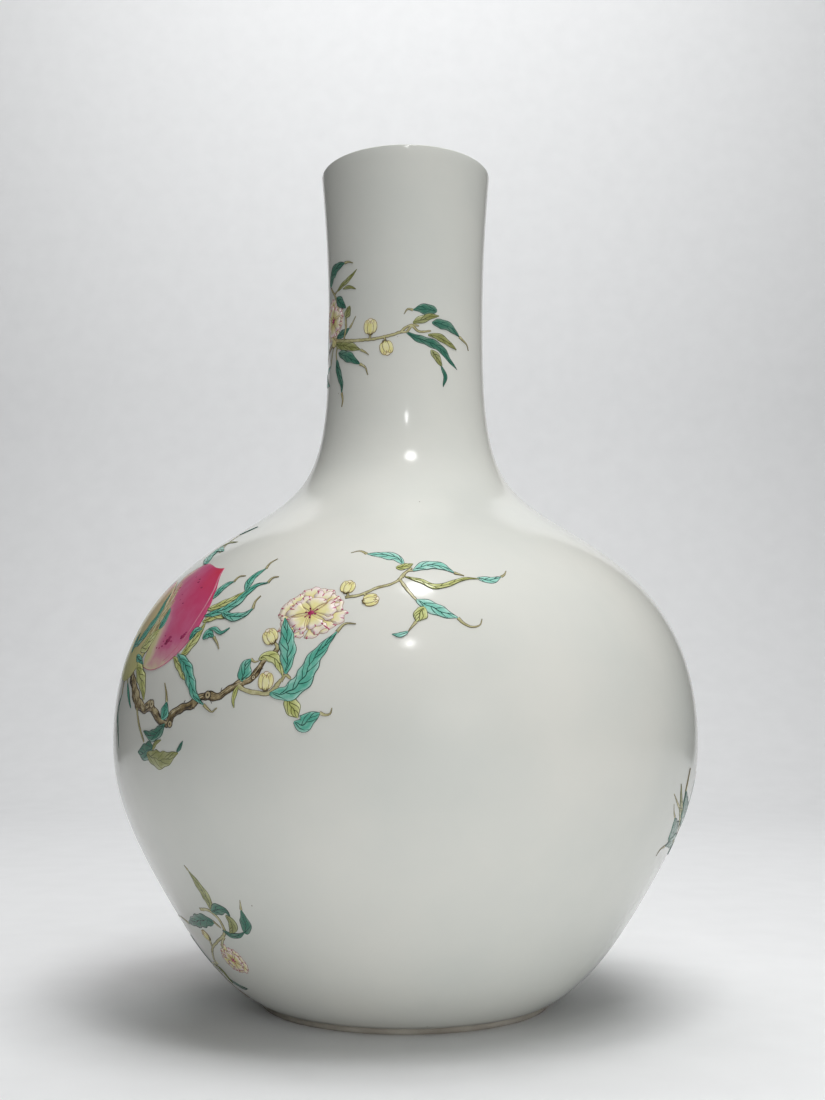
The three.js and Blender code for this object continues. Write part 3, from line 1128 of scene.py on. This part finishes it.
# Each leaf: enamel, half width in mm, pixels from its stalk to its tip, and pixels of its tail.
PEACH_LEAVES = (
    (TURQUOISE, 2.3, ((213, 599), (220, 591), (227, 585), (234, 582)), ((239, 577), (246, 576))),
    (OLIVE, 2.3, ((208, 610), (222, 605), (234, 599), (245, 592)), ()),
    (TURQUOISE, 2.3, ((246, 592), (252, 579), (258, 574), (266, 569)), ((271, 563), (278, 559))),
    (TURQUOISE, 2.6, ((205, 616), (222, 611), (236, 603), (247, 593), (258, 585), (268, 583)),
     ((273, 578), (279, 577))),
    (OLIVE, 2.0, ((203, 622), (218, 616), (232, 618)), ()),
    (TURQUOISE, 2.3, ((222, 613), (234, 617), (246, 614), (253, 609)), ((256, 601), (261, 596))),
    (OLIVE, 2.7, ((180, 658), (190, 646), (199, 634), (206, 622)), ()),
    (TURQUOISE, 1.9, ((190, 640), (195, 632), (203, 629)), ()),
    (TURQUOISE, 2.6, ((203, 639), (208, 634), (214, 637)), ((218, 645), (219, 649))),
    (TURQUOISE, 1.1, ((209, 629), (215, 629), (222, 633), (230, 628)), ()),
    (OLIVE, 2.4, ((174, 657), (180, 666), (185, 677), (190, 682)), ()),
    (TURQUOISE, 3.3, ((178, 654), (187, 668), (191, 683), (195, 696), (204, 705)),
     ((208, 709), (212, 712), (217, 708))),
    (CREAM, 2.2, ((150, 634), (159, 618), (170, 603), (183, 583)), ()),
    (TURQUOISE, 3.6, ((135, 647), (142, 639), (150, 628), (158, 617), (166, 602), (172, 593)), ()),
    (OLIVE, 5.0, ((141, 650), (148, 643), (154, 636), (160, 629)), ()),
    (CREAM, 1.7, ((155, 632), (161, 621), (168, 610), (175.5, 600)), ()),
    (TURQUOISE, 3.4, ((159, 630), (165, 620), (171, 608)), ()),
    (TURQUOISE, 2.6, ((132, 653), (136, 643), (141, 633)), ()),
    (TURQUOISE, 2.2, ((137, 656), (140, 660), (143, 664)), ()),
    (OLIVE, 4.2, ((138, 663), (140, 674), (143, 686), (144, 700)), ()),
    (TURQUOISE, 1.1, ((128, 683), (129, 697), (131, 708)), ()),
    (TURQUOISE, 4.0, ((207, 564), (211, 556), (217, 551), (224, 551)), ()),
    (OLIVE, 0.9, ((215, 551), (225, 545), (238, 542)), ()),
    (TURQUOISE, 0.9, ((240, 535), (258, 527)), ()),
)
# Each twig: half width in mm, and pixels along it.
PEACH_TWIGS = ((0.45, ((220, 553), (230, 542), (240, 535))),)
# The peach lies under all of its leaves and over the pale peach behind it.
PEACH_LAYER = 1.6
PEACH_RIGHT_EDGE = (
    (143.6, 667), (147, 669.3), (151.5, 670), (163, 665.3), (173, 657.8), (183, 647.9),
    (193, 635.5), (203.7, 618), (211.2, 603), (216.2, 590), (219.6, 578), (221.4, 573.6),
    (224.4, 568.6),
)
PEACH_LEFT_EDGE = (
    (143.6, 667), (146, 655.4), (151, 645), (156.3, 632), (162.3, 618.5), (168.6, 604),
    (175.6, 590), (184.2, 578.2), (194.6, 570.8), (202.9, 566.2), (207.9, 564.1), (212, 565.2),
    (217, 568.2), (221, 568.9), (224.4, 568.6),
)
# Each dab of deeper rose: its pixel and its radius in mm.
PEACH_SPECKS = (
    (168.5, 640.8, 1.3), (170.6, 637.6, 0.9), (166.4, 643.6, 0.9), (171.5, 641.5, 0.6),
    (157, 648, 0.4), (159.6, 648.2, 0.4), (162.4, 646.4, 0.5), (164, 641.5, 0.4), (166, 636, 0.4),
    (183, 636.7, 1.0), (184.9, 634.6, 0.7), (181.4, 638.6, 0.5), (186.6, 632.6, 0.4),
    (178, 590.6, 0.8), (180.2, 588.2, 0.7), (175.6, 593.6, 0.6), (182.8, 594.8, 0.4),
    (180.6, 600, 0.35), (183.4, 603.6, 0.5), (200.2, 579.6, 0.6), (198.9, 582.4, 0.6),
    (202, 588, 0.5), (196.4, 577.4, 0.35),
)

BRANCH = (
    (129, 660), (132, 675), (134, 689), (139, 704), (144, 710), (150, 706), (156, 714),
    (161, 721), (167, 723), (171, 716), (179, 709), (190, 705), (206, 696), (216, 697),
    (227, 691), (238, 684), (250, 680), (257, 671), (263, 662), (276, 651), (280, 646),
)
# Each knot: its pixel, and its size in mm.
BRANCH_KNOTS = ((152, 704, 2.2), (170, 724, 1.9), (208, 695, 2.0), (253.7, 677.4, 1.2))
BRANCH_TWIGS = (
    (1.2, ((238, 686), (247, 691), (258, 693), (269, 693), (276, 687), (281, 680))),
    (0.8, ((137, 708), (139, 724), (141, 732), (144, 742))),
    (0.9, ((281, 680), (276, 686), (282, 692))),
    (0.9, ((281, 681), (286, 675), (291, 679))),
    (0.6, ((130, 664), (128.3, 674), (127.8, 684))),
    (0.6, ((128, 668), (124.6, 680), (122.2, 695))),
)
# The deeper greens below the branch are partly painted shade.
BRANCH_LEAVES = (
    (TURQUOISE, 4.0, ((242, 682), (244, 673), (247, 664), (251, 659)), ((255, 662), (259, 661))),
    (OLIVE, 1.2, ((239, 685), (235.4, 692), (233.3, 700), (234, 708)), ()),
    (TURQUOISE, 3.5, ((163, 720), (165, 711), (167, 702)), ((166.5, 693), (165, 683))),
    (LOADED_AND_SHADED_GREEN, 3.2, ((165, 724), (159, 732), (152, 736), (144, 731)), ()),
    (LOADED_AND_SHADED_GREEN, 5.0, ((153, 747), (146, 752), (138, 752)), ()),
    (LOADED_AND_SHADED_OLIVE, 4.6, ((147, 754), (161, 760), (178, 753)), ()),
    (LOADED_AND_SHADED_GREEN, 1.0, ((177, 752), (181, 745), (183, 741)), ()),
    (LOADED_AND_SHADED_OLIVE, 1.0, ((153, 750), (156, 743), (161, 740)), ()),
    (LOADED_AND_SHADED_GREEN, 1.6, ((122, 694), (118, 712), (118, 730), (119, 748)), ()),
)

BLOSSOM_LEAVES = (
    (OLIVE, 2.7, ((259, 660), (265, 656), (273, 657), (280, 666), (283, 677)), ()),
    (TURQUOISE, 4.3, ((286, 674), (288, 655), (287, 635), (285, 618)), ()),
    (TURQUOISE, 4.6, ((270, 694), (289, 692), (303, 679), (313, 660), (325, 645), (337, 632)),
     ((345, 624), (356, 624))),
    (OLIVE, 4.2, ((287, 697), (292, 707), (298, 718)), ()),
    (TURQUOISE, 4.0, ((294, 722), (301, 725), (310, 719), (320, 713)),
     ((325, 715), (330, 714), (332, 708))),
)
# Each blossom: its pixel, its radius in mm, and its stretch along a line tilted by some degrees.
BLOSSOMS = (((311, 613), 17.2, 1.14, 25.0),)
# Each bud: its pixel, its radius in mm, and the way that it points in degrees.
BLOSSOM_BUDS = (
    (270.5, 636.5, 4.6, 125), (266, 681, 4.7, 92), (348, 587, 4.2, 80), (371, 600, 4.1, 15),
)
BLOSSOM_TWIGS = (
    (1.0, ((277, 650), (277, 646), (274, 642))),
    (0.75, ((345, 597.5), (360, 595), (377, 588), (394, 583), (402, 578))),
    (0.5, ((266, 686), (265, 691))),
    (0.7, ((348, 597), (348, 592))),
    (0.7, ((364, 594), (369, 598))),
    (0.8, ((400, 580), (409, 592), (417, 601))),
    (0.8, ((399, 580), (404, 574), (412, 568))),
    (0.7, ((402, 578), (408, 571), (416, 571))),
)
# The paler green of these leaves is partly a painted highlight of the glaze's haze.
RIGHT_TWIG_LEAVES = (
    (THIN_AND_SHEEN_GREEN, 2.9, ((404, 564), (395, 557), (384, 555), (367, 554)), ((360, 551), (351, 553))),
    (OLIVE, 2.2, ((396, 568), (403, 567), (413, 564)), ()),
    (THIN_AND_SHEEN_GREEN, 3.0, ((413, 571), (425, 566), (439, 566), (454, 573)), ((464, 576),)),
    (OLIVE, 1.5, ((405, 577), (420, 581), (436, 587), (450, 584), (465, 579), (479, 579)), ()),
    (THIN_AND_SHEEN_GREEN, 2.2, ((477, 578), (490, 580), (501, 577)), ((504, 575), (506, 571))),
    (THIN_AND_SHEEN_GREEN, 3.4, ((416, 600), (429, 606), (444, 613), (458, 618)),
     ((463, 623), (472, 627), (480, 625), (482, 619))),
    (OLIVE, 3.5, ((424, 607), (420, 614), (416, 622)), ((411, 628), (408, 632))),
    (THIN_AND_SHEEN_GREEN, 1.2, ((408, 632), (401, 635), (392, 634.5)), ()),
)

NECK_LEAVES = (
    (LOADED_AND_SHADED_GREEN, 3.3, ((437, 311), (427, 309.5), (420, 309), (413, 310)), ((408, 309), (404, 314))),
    (LOADED_AND_SHADED_OLIVE, 2.3, ((413, 323), (421, 320), (430, 317), (439, 316)), ()),
    (LOADED_AND_SHADED_GREEN, 3.0, ((432, 323), (441, 324), (450, 328), (459, 337)),
     ((463, 341), (467, 346), (468, 351))),
    (LOADED_AND_SHADED_OLIVE, 2.1, ((428, 335), (438, 337), (446, 342), (456, 350)), ()),
    (LOADED_AND_SHADED_GREEN, 2.6, ((406, 332), (417, 338), (431, 343), (441, 349), (449, 360), (457, 370)), ()),
    (LOADED_AND_SHADED_OLIVE, 2.2, ((431, 350), (437, 358), (442, 367)), ()),
    (LOADED_AND_SHADED_GREEN, 1.2, ((441, 366), (445, 376), (443, 387)), ()),
    (LOADED_AND_SHADED_GREEN, 3.6, ((331, 288), (333, 275), (339, 266), (345, 263)), ((349, 262), (353, 263))),
    (LOADED_AND_SHADED_OLIVE, 1.6, ((337, 292), (344, 284), (351, 277), (357, 269)), ()),
    (LOADED_AND_SHADED_OLIVE, 1.0, ((343, 289), (350, 287), (356, 289)), ()),
    (LOADED_AND_SHADED_GREEN, 3.0, ((337, 298), (341, 303), (346, 308)), ()),
    (LOADED_AND_SHADED_OLIVE, 2.6, ((346, 318), (348, 312), (350, 306)), ()),
    (LOADED_AND_SHADED_GREEN, 2.5, ((337, 338), (344, 333), (350, 328)), ((353, 322), (356, 316))),
    (LOADED_AND_SHADED_OLIVE, 3.4, ((336, 345), (347, 346), (361, 350)), ((365, 352), (369, 355))),
    (LOADED_AND_SHADED_GREEN, 3.1, ((339, 353), (348, 357), (360, 364)), ((365, 367), (368, 375))),
    (LOADED_AND_SHADED_GREEN, 2.2, ((337, 360), (339, 373), (342, 385), (342, 393)), ((343, 400), (342, 407))),
)
NECK_TWIGS = (
    (1.0, ((336, 341), (347, 341), (357, 340.5), (379, 338), (392, 335), (402, 332), (407, 332))),
    (0.7, ((400, 333), (405, 328), (412, 325), (419, 326))),
    (0.7, ((370, 339), (370.5, 334))),
    (0.7, ((384, 337), (386, 341))),
    (0.7, ((407, 332), (412, 326), (418, 331), (431, 331))),
    (0.8, ((346, 318), (346, 329), (344, 340))),
    (0.7, ((337, 301), (334.6, 295), (331.2, 288.5))),
    (0.6, ((334.6, 295), (337.4, 291.5))),
    (0.6, ((338, 345), (336.6, 353), (337, 361))),
)
NECK_BUDS = ((370.5, 326.5, 4.9, 90), (386.5, 348, 4.6, 285))

# The deeper greens of this sprig are painted shade low on the vase's side.
LOW_LEAVES = (
    (LOADED_AND_SHADED_OLIVE, 3.5, ((212, 911), (208, 900), (202, 890), (195, 880), (188, 870)), ((184, 865),)),
    (LOADED_AND_SHADED_GREEN, 3.4, ((212, 912), (219, 909), (226, 911), (230, 916)), ()),
    (LOADED_AND_SHADED_OLIVE, 3.0, ((226, 915), (231, 921), (233, 927), (230, 933)), ()),
    (LOADED_AND_SHADED_GREEN, 1.6, ((223, 930), (231, 935), (240, 935), (245, 932)), ()),
    (LOADED_AND_SHADED_GREEN, 3.5, ((246, 934), (245, 922), (241, 910)), ((240, 900),)),
    (LOADED_AND_SHADED_GREEN, 4.4, ((214, 922), (205, 920), (197, 921), (189, 923)), ((184, 919), (178, 915))),
    (LOADED_AND_SHADED_GREEN, 2.4, ((190, 935), (201, 952), (217, 968)), ()),
    (LOADED_AND_SHADED_OLIVE, 2.4, ((213, 966), (224, 972), (233, 983)), ()),
    (LOADED_AND_SHADED_GREEN, 2.2, ((230, 979), (238, 985), (248, 989)), ()),
)
LOW_TWIGS = (
    (0.8, ((210.2, 940.4), (212.1, 946.5))),
    (0.8, ((224.4, 937), (222.4, 942), (222.6, 948))),
    (0.9, ((200, 909), (210, 911), (219, 919), (224, 928), (217, 942), (213, 947), (217, 966))),
    (0.7, ((213, 921), (221, 928))),
    (1.1, ((217, 962), (214, 972), (219, 984), (232, 994), (246, 1004))),
)
LOW_BLOSSOMS = (((233.5, 960), 10.6, 1.0, 0.0),)
LOW_BUDS = ((206, 935, 3.6, 140),)

# The deeper greens of this sprig are painted shade towards the vase's right side.
RIGHT_LEAVES = (
    (LOADED_AND_SHADED_GREEN, 7.0, ((673, 840), (674, 829), (675, 818)), ((674, 811), (674, 804))),
    (LOADED_AND_SHADED_OLIVE, 2.6, ((681, 834), (681, 819), (679, 807)), ((677, 802), (674, 794))),
    (LOADED_AND_SHADED_OLIVE, 1.4, ((682, 812), (681, 799), (681, 784)), ()),
    (LOADED_AND_SHADED_GREEN, 6.2, ((682, 822), (684.6, 806), (685.6, 791)), ((687, 784), (690, 768))),
    (LOADED_AND_SHADED_GREEN, 2.0, ((687, 814), (691, 799), (695, 780)), ()),
    (LOADED_AND_SHADED_GREEN, 4.6, ((676, 841), (670, 842), (665, 846)), ((659, 851), (656, 856))),
    (LOADED_AND_SHADED_OLIVE, 1.4, ((673, 840), (672, 847), (670, 853)), ()),
    (LOADED_AND_SHADED_GREEN, 2.2, ((676, 842), (677, 850), (674, 858)), ()),
)
RIGHT_TWIGS = ((0.9, ((692, 826), (684, 830), (676, 836), (671, 843))),)

# Each spray: its name, its brush's seed, its blossoms, leaves, twigs and buds, and the lowest
# layer that its leaves take.
SPRAYS = (
    ("blossom_spray", 8, BLOSSOMS, BLOSSOM_LEAVES, BLOSSOM_TWIGS, BLOSSOM_BUDS, 1),
    ("shoulder_twig", 2, (), RIGHT_TWIG_LEAVES, (), (), 0),
    ("neck_spray", 12, (), NECK_LEAVES, NECK_TWIGS, NECK_BUDS, 0),
    ("low_left_sprig", 21, LOW_BLOSSOMS, LOW_LEAVES, LOW_TWIGS, LOW_BUDS, 0),
    ("low_right_sprig", 17, (), RIGHT_LEAVES, RIGHT_TWIGS, (), 0),
)


def traced(pixels):
    """The places on the wall under a line of pixels."""
    return [seen(*pixel) for pixel in pixels]


def painted(brush, leaves=(), twigs=(), buds=(), knots=(), first=0):
    """Paints a spray from its tables of pixels. Neighbouring leaves take different layers, from
    the first one given."""
    for half_width, pixels in twigs:
        limb(brush, traced(pixels), half_width, half_width * 0.75, TWIG, TWIG_LAYER, 0.15, 0.3)
    for index, (enamel, half_width, blade, tail) in enumerate(leaves):
        layer = first + index % (LAYERS - first)
        leaf(brush, enamel, half_width, traced(blade), traced(tail), layer)
    for column, row, radius, direction in buds:
        bud(brush, seen(column, row), radius, direction)
    for column, row, size in knots:
        knot(brush, seen(column, row), size)


def front_sprays():
    """The sprays on the side that the photograph shows."""
    brush = Brush("peach_spray", 3)
    peach(brush, traced(PEACH_RIGHT_EDGE), traced(PEACH_LEFT_EDGE), layer=PEACH_LAYER)
    dabs = [wall(np.array(seen(column, row)))[0] for column, row, _ in PEACH_SPECKS]
    specks(brush, dabs, [radius for _, _, radius in PEACH_SPECKS], PEACH_LAYER, widen=1.9)
    painted(brush, PEACH_LEAVES, PEACH_TWIGS, first=2)
    brush.finish()
    brush = Brush("fruiting_branch", 5)
    branch(brush, traced(BRANCH), 3.6, 1.2)
    painted(brush, BRANCH_LEAVES, BRANCH_TWIGS, knots=BRANCH_KNOTS)
    brush.finish()
    for name, seed, blossoms, leaves, twigs, buds, first in SPRAYS:
        brush = Brush(name, seed)
        for pixel, radius, stretch, tilt in blossoms:
            blossom(brush, seen(*pixel), radius, stretch, tilt)
        painted(brush, leaves, twigs, buds, first=first)
        brush.finish()


# The sprays on the sides and the back, which carry the tree on round the vase

# Each limb: half widths at its two ends in mm, and (azimuth, height) along it.
TRUNK = (
    9.5, 5.5,
    ((-152, 13), (-146, 30), (-141, 48), (-148, 70), (-154, 88), (-146, 108), (-139, 124),
     (-147, 142), (-144, 160), (-132, 172), (-122, 186)),
)
LEFT_BOUGH = (
    5.4, 3.6,
    ((-122, 186), (-112, 200), (-104, 196), (-96, 184), (-87, 189), (-79, 203), (-73, 204),
     (-67.7, 201)),
)
TOP_BOUGH = (
    4.6, 1.1,
    ((-126, 181), (-130, 205), (-121, 226), (-127, 246), (-137, 262), (-133, 282), (-122, 300),
     (-126, 322), (-137, 342), (-128, 362), (-112, 380), (-92, 390), (-76, 397), (-60.4, 400)),
)
BACK_BOUGH = (
    6.0, 2.4,
    ((-146, 136), (-160, 150), (-168, 168), (-180, 178), (-188, 196), (-201, 200), (-212, 190),
     (-224, 200), (-233, 218), (-246, 220), (-256, 208), (-268, 214)),
)
LOW_BOUGH = (
    4.8, 1.1,
    ((-146, 60), (-130, 50), (-115, 44), (-102, 34), (-88, 31), (-76, 24), (-68, 26), (-63, 29)),
)
RIGHT_BOUGH = (
    5.0, 1.5,
    ((-151, 96), (-166, 88), (-178, 98), (-190, 112), (-204, 108), (-216, 96), (-230, 100),
     (-243, 114), (-257, 116), (-270, 108), (-279, 110), (-284.6, 105)),
)
BOUGHS = (TRUNK, LEFT_BOUGH, TOP_BOUGH, BACK_BOUGH, LOW_BOUGH, RIGHT_BOUGH)
# Each knot: azimuth, height and size.
TRUNK_KNOTS = ((-148, 72, 4.5), (-141, 122, 4.0), (-146, 158, 3.5), (-143, 44, 4.0))
# Each peach: azimuth and height of its stalk, the way that it points, its length and its width.
PEACHES = (
    (-67, 189, 91, 74, 66), (-116, 206, 108, 64, 58), (-152, 196, 112, 66, 62),
    (-186, 200, 74, 66, 60), (-226, 222, 58, 58, 54), (-120, 128, -96, 62, 58),
    (-213, 180, -82, 62, 58), (-262, 204, -100, 58, 54), (-184, 84, 200, 50, 46),
)
# The first, which lies half behind the photographed one, and one on the back are less ripe.
PALE_PEACHES = (0, 8)
# Each blossom: azimuth, height and radius.
BACK_BLOSSOMS = (
    (-104, 216, 15), (-166, 150, 17), (-243, 232, 16), (-104, 50, 13), (-222, 116, 16),
    (-266, 130, 13), (-136, 306, 14), (-105, 364, 13), (-66, 414, 14.5), (-200, 222, 14),
)
# Each tuft of leaves: azimuth, height, the way that it fans out, its spread, leaves and length.
TUFTS = (
    (-92, 190, 90, 190, 6, 34), (-116, 206, 100, 200, 7, 36), (-152, 194, 100, 210, 8, 38),
    (-186, 200, 80, 210, 8, 36), (-226, 222, 50, 220, 8, 34), (-120, 131, -90, 210, 8, 34),
    (-213, 183, -85, 200, 8, 36), (-262, 207, -95, 210, 7, 34), (-180, 92, 200, 200, 7, 30),
    (-100, 190, -80, 120, 5, 32), (-139, 124, 10, 100, 4, 34), (-167, 168, 60, 110, 5, 32),
    (-268, 214, 115, 100, 5, 30), (-240, 222, 90, 120, 4, 32), (-247, 112, -90, 120, 5, 28),
    (-272, 112, 60, 120, 4, 28), (-204, 108, 70, 110, 4, 30), (-118, 46, 100, 110, 4, 26),
    (-94, 33, 70, 120, 4, 26), (-82, 28, 110, 90, 3, 22), (-137, 264, 160, 130, 5, 30),
    (-124, 300, 30, 120, 5, 30), (-137, 342, 170, 130, 5, 26), (-112, 376, 100, 150, 6, 26),
    (-96, 388, -80, 120, 5, 24), (-93, 391, 100, 100, 4, 22), (-150, 30, 20, 60, 3, 26),
    (-152, 150, 190, 90, 4, 32), (-228, 100, -70, 100, 4, 28), (-160, 90, -80, 90, 4, 26),
)
# Each bud: azimuth, height, radius and the way that it points.
BACK_BUDS = (
    (-96, 205, 4.2, 110), (-108, 186, 4.0, -70), (-160, 165, 4.2, 150), (-172, 163, 4.2, 40),
    (-196, 211, 4.4, 120), (-236, 232, 4.2, 70), (-250, 234, 4.2, 110), (-256, 198, 4.0, -60),
    (-90, 44, 4.0, 60), (-116, 58, 4.0, 110), (-216, 107, 4.0, 100), (-229, 109, 4.0, 40),
    (-259, 125, 3.8, 80), (-130, 314, 4.0, 70), (-98, 372, 3.8, 60), (-64, 400, 3.6, 60),
)


def grown_leaf(brush, place, direction, length, layer):
    """A leaf that curves off in a direction, with or without a curled tail."""
    rng = brush.random
    bend = rng.choice((-1, 1)) * rng.uniform(10, 45)
    enamel = TURQUOISE if rng.random() < 0.62 else OLIVE
    half_width = length * rng.uniform(0.085, 0.125)
    blade = walk(place, direction, length, bend)
    tail = ()
    if rng.random() < 0.6:
        tail = walk(blade[-1], direction + bend, length * 0.28, rng.choice((-1, 1)) * 50, 3)[1:]
    leaf(brush, enamel, half_width, blade, tail, layer)


def tuft(brush, place, direction, spread, count, length):
    """Leaves that fan out from one place on a twig, where a small knob of wood joins them."""
    rng = brush.random
    point, right, up = axes_at(place)
    disc(brush, TWIG, point, right, up, 3.4, layer_lift(0) - 0.03, dome=0.01)
    for index in range(count):
        angle = direction + spread * (index / (count - 1) - 0.5) + rng.uniform(-9, 9)
        start = walk(place, angle, rng.uniform(1.5, 4.0), 0, 2)[-1]
        grown_leaf(brush, start, angle, length * rng.uniform(0.75, 1.1), index % LAYERS)


def side_sprays():
    """The tree on the sides and the back."""
    brush = Brush("tree", 31)
    for start_half, end_half, places in BOUGHS:
        branch(brush, [placed(*p) for p in places], start_half, end_half)
    for azimuth, height, size in TRUNK_KNOTS:
        knot(brush, placed(azimuth, height), size)
    brush.finish()
    for number, (azimuth, height, direction, length, width) in enumerate(PEACHES):
        brush = Brush(f"hanging_peach_{number + 1}", 40 + number)
        # The first lies a little lower than the photographed one, which it meets.
        layer = 0.9 if number == 0 else 1
        enamel = PALE_PEACH if number in PALE_PEACHES else PEACH
        grown_peach(brush, placed(azimuth, height), direction, length, width, layer, enamel)
        brush.finish()
    for group in range(3):
        brush = Brush(f"leaf_tufts_{group + 1}", 60 + group)
        for azimuth, height, direction, spread, count, length in TUFTS[group::3]:
            tuft(brush, placed(azimuth, height), direction, spread, count, length)
        brush.finish()
    brush = Brush("side_blossoms", 71)
    for azimuth, height, radius in BACK_BLOSSOMS:
        blossom(brush, placed(azimuth, height), radius)
    for azimuth, height, radius, direction in BACK_BUDS:
        stalk = walk(placed(azimuth, height), direction + 180, 15.0, 12, 4)
        limb(brush, stalk, 0.5, 0.8, TWIG, 0, 0.15, 0.3)
        bud(brush, placed(azimuth, height), radius, direction)
    brush.finish()


# The studio, in metres

FLOOR_REACH = 3.0
FLOOR_FRONT = -2.4
FLOOR_BACK = 1.3
ROLL_REACH = 1.1
ROLL_CURVE = 0.9
ROLL_RISE = 2.6
# The points that the lamps face.
SHOULDER_POINT = (0.0, 0.0, 0.22)
BELLY_POINT = (0.0, 0.0, 0.12)
ROLL_POINT = (0.0, 2.2, 0.7)
# Each lamp: its name, its place, its size, its watts, the point that it faces, whether the glaze
# mirrors it, and how wide it spreads in degrees.
LAMPS = (
    ("spot_above_the_mouth", (0.047, -0.32, 0.81), 0.1, 0.4, SHOULDER_POINT, True, 180),
    ("spot_behind_the_camera", (0.03, -1.13, 1.02), 0.06, 0.45, SHOULDER_POINT, True, 180),
    ("overhead_softbox", (0.35, -0.45, 1.9), 1.0, 17.2, SHOULDER_POINT, False, 180),
    ("front_softbox", (0.28, -0.95, 0.2), 0.5, 0.5, BELLY_POINT, False, 70),
    ("backdrop_lamp", (0.0, 0.7, 2.6), 2.4, 42.0, ROLL_POINT, False, 180),
)


def studio():
    """The paper, the lamps and a dim even room."""
    floor = backdrop()
    world = bpy.data.worlds.new("studio_sky")
    world.use_nodes = True
    sky = world.node_tree.nodes["Background"].inputs
    fill(world.node_tree, sky, {"Color": "#EDEDEB", "Strength": 0.08})
    bpy.context.scene.world = world
    for settings in LAMPS:
        lamp(*settings)


def backdrop():
    """A wide pale floor, and a roll of the same paper that sweeps up behind the vase. The roll is
    little wider than the picture, so the vase mirrors the dim room at its sides."""
    builder = bmesh.new()
    columns = (-FLOOR_REACH, -ROLL_REACH, ROLL_REACH, FLOOR_REACH)
    for left, right in zip(columns, columns[1:]):
        front = ((left, FLOOR_FRONT, 0), (right, FLOOR_FRONT, 0))
        back = ((right, FLOOR_BACK, 0), (left, FLOOR_BACK, 0))
        builder.faces.new([builder.verts.new(corner) for corner in front + back])
    profile = [
        (-ROLL_REACH, FLOOR_BACK + ROLL_CURVE * math.sin(turn), ROLL_CURVE * (1 - math.cos(turn)))
        for turn in np.linspace(0, math.pi / 2, 12)
    ]
    profile.append((-ROLL_REACH, FLOOR_BACK + ROLL_CURVE, ROLL_RISE))
    verts = [builder.verts.new(point) for point in profile]
    edges = [builder.edges.new(pair) for pair in zip(verts, verts[1:])]
    swept = bmesh.ops.extrude_edge_only(builder, edges=edges)["geom"]
    moved = [item for item in swept if isinstance(item, bmesh.types.BMVert)]
    bmesh.ops.translate(builder, verts=moved, vec=(2 * ROLL_REACH, 0, 0))
    bmesh.ops.remove_doubles(builder, verts=builder.verts, dist=0.001)
    bmesh.ops.recalc_face_normals(builder, faces=builder.faces)
    return make_object("studio_floor", builder, paper())


def lamp(name, place, size, watts, facing, mirrored, spread):
    """A round soft lamp. One that isn't mirrored gives light alone, as a lamp behind a wide
    diffuser does, and only the mirrored ones show as highlights on the glaze."""
    light = bpy.data.lights.new(name, "AREA")
    light.shape = "DISK"
    light.size = size
    light.energy = watts
    light.spread = math.radians(spread)
    made = bpy.data.objects.new(name, light)
    made.location = place
    made.visible_glossy = mirrored
    made.visible_camera = False
    made.rotation_euler = (Vector(facing) - made.location).to_track_quat("-Z", "Y").to_euler()
    bpy.context.scene.collection.objects.link(made)


def paper():
    """Matt seamless paper in a pale, faintly cool grey, with a faint tooth."""
    material, tree, shader, places = start_material("seamless_studio_paper", 0.9, 1.5)
    at = places["Object"]
    tooth = add_node(tree, "TexNoise", {"Vector": at, "Scale": per_mm(40), "Detail": 3.0})
    colour = add_node(tree, "ValToRGB", {"Fac": tooth["Fac"]}, [(0.3, "#ECEDEE"), (0.7, "#EFF0F1")])
    fill(tree, shader, {"Base Color": colour["Color"]})
    return material


def main():
    """Builds the vase and its painting, and sets up the studio round it."""
    camera()
    glaze_coat()
    foot_ring()
    slip_beads()
    front_sprays()
    side_sprays()
    studio()
    bpy.context.scene.view_settings.view_transform = "Standard"


main()
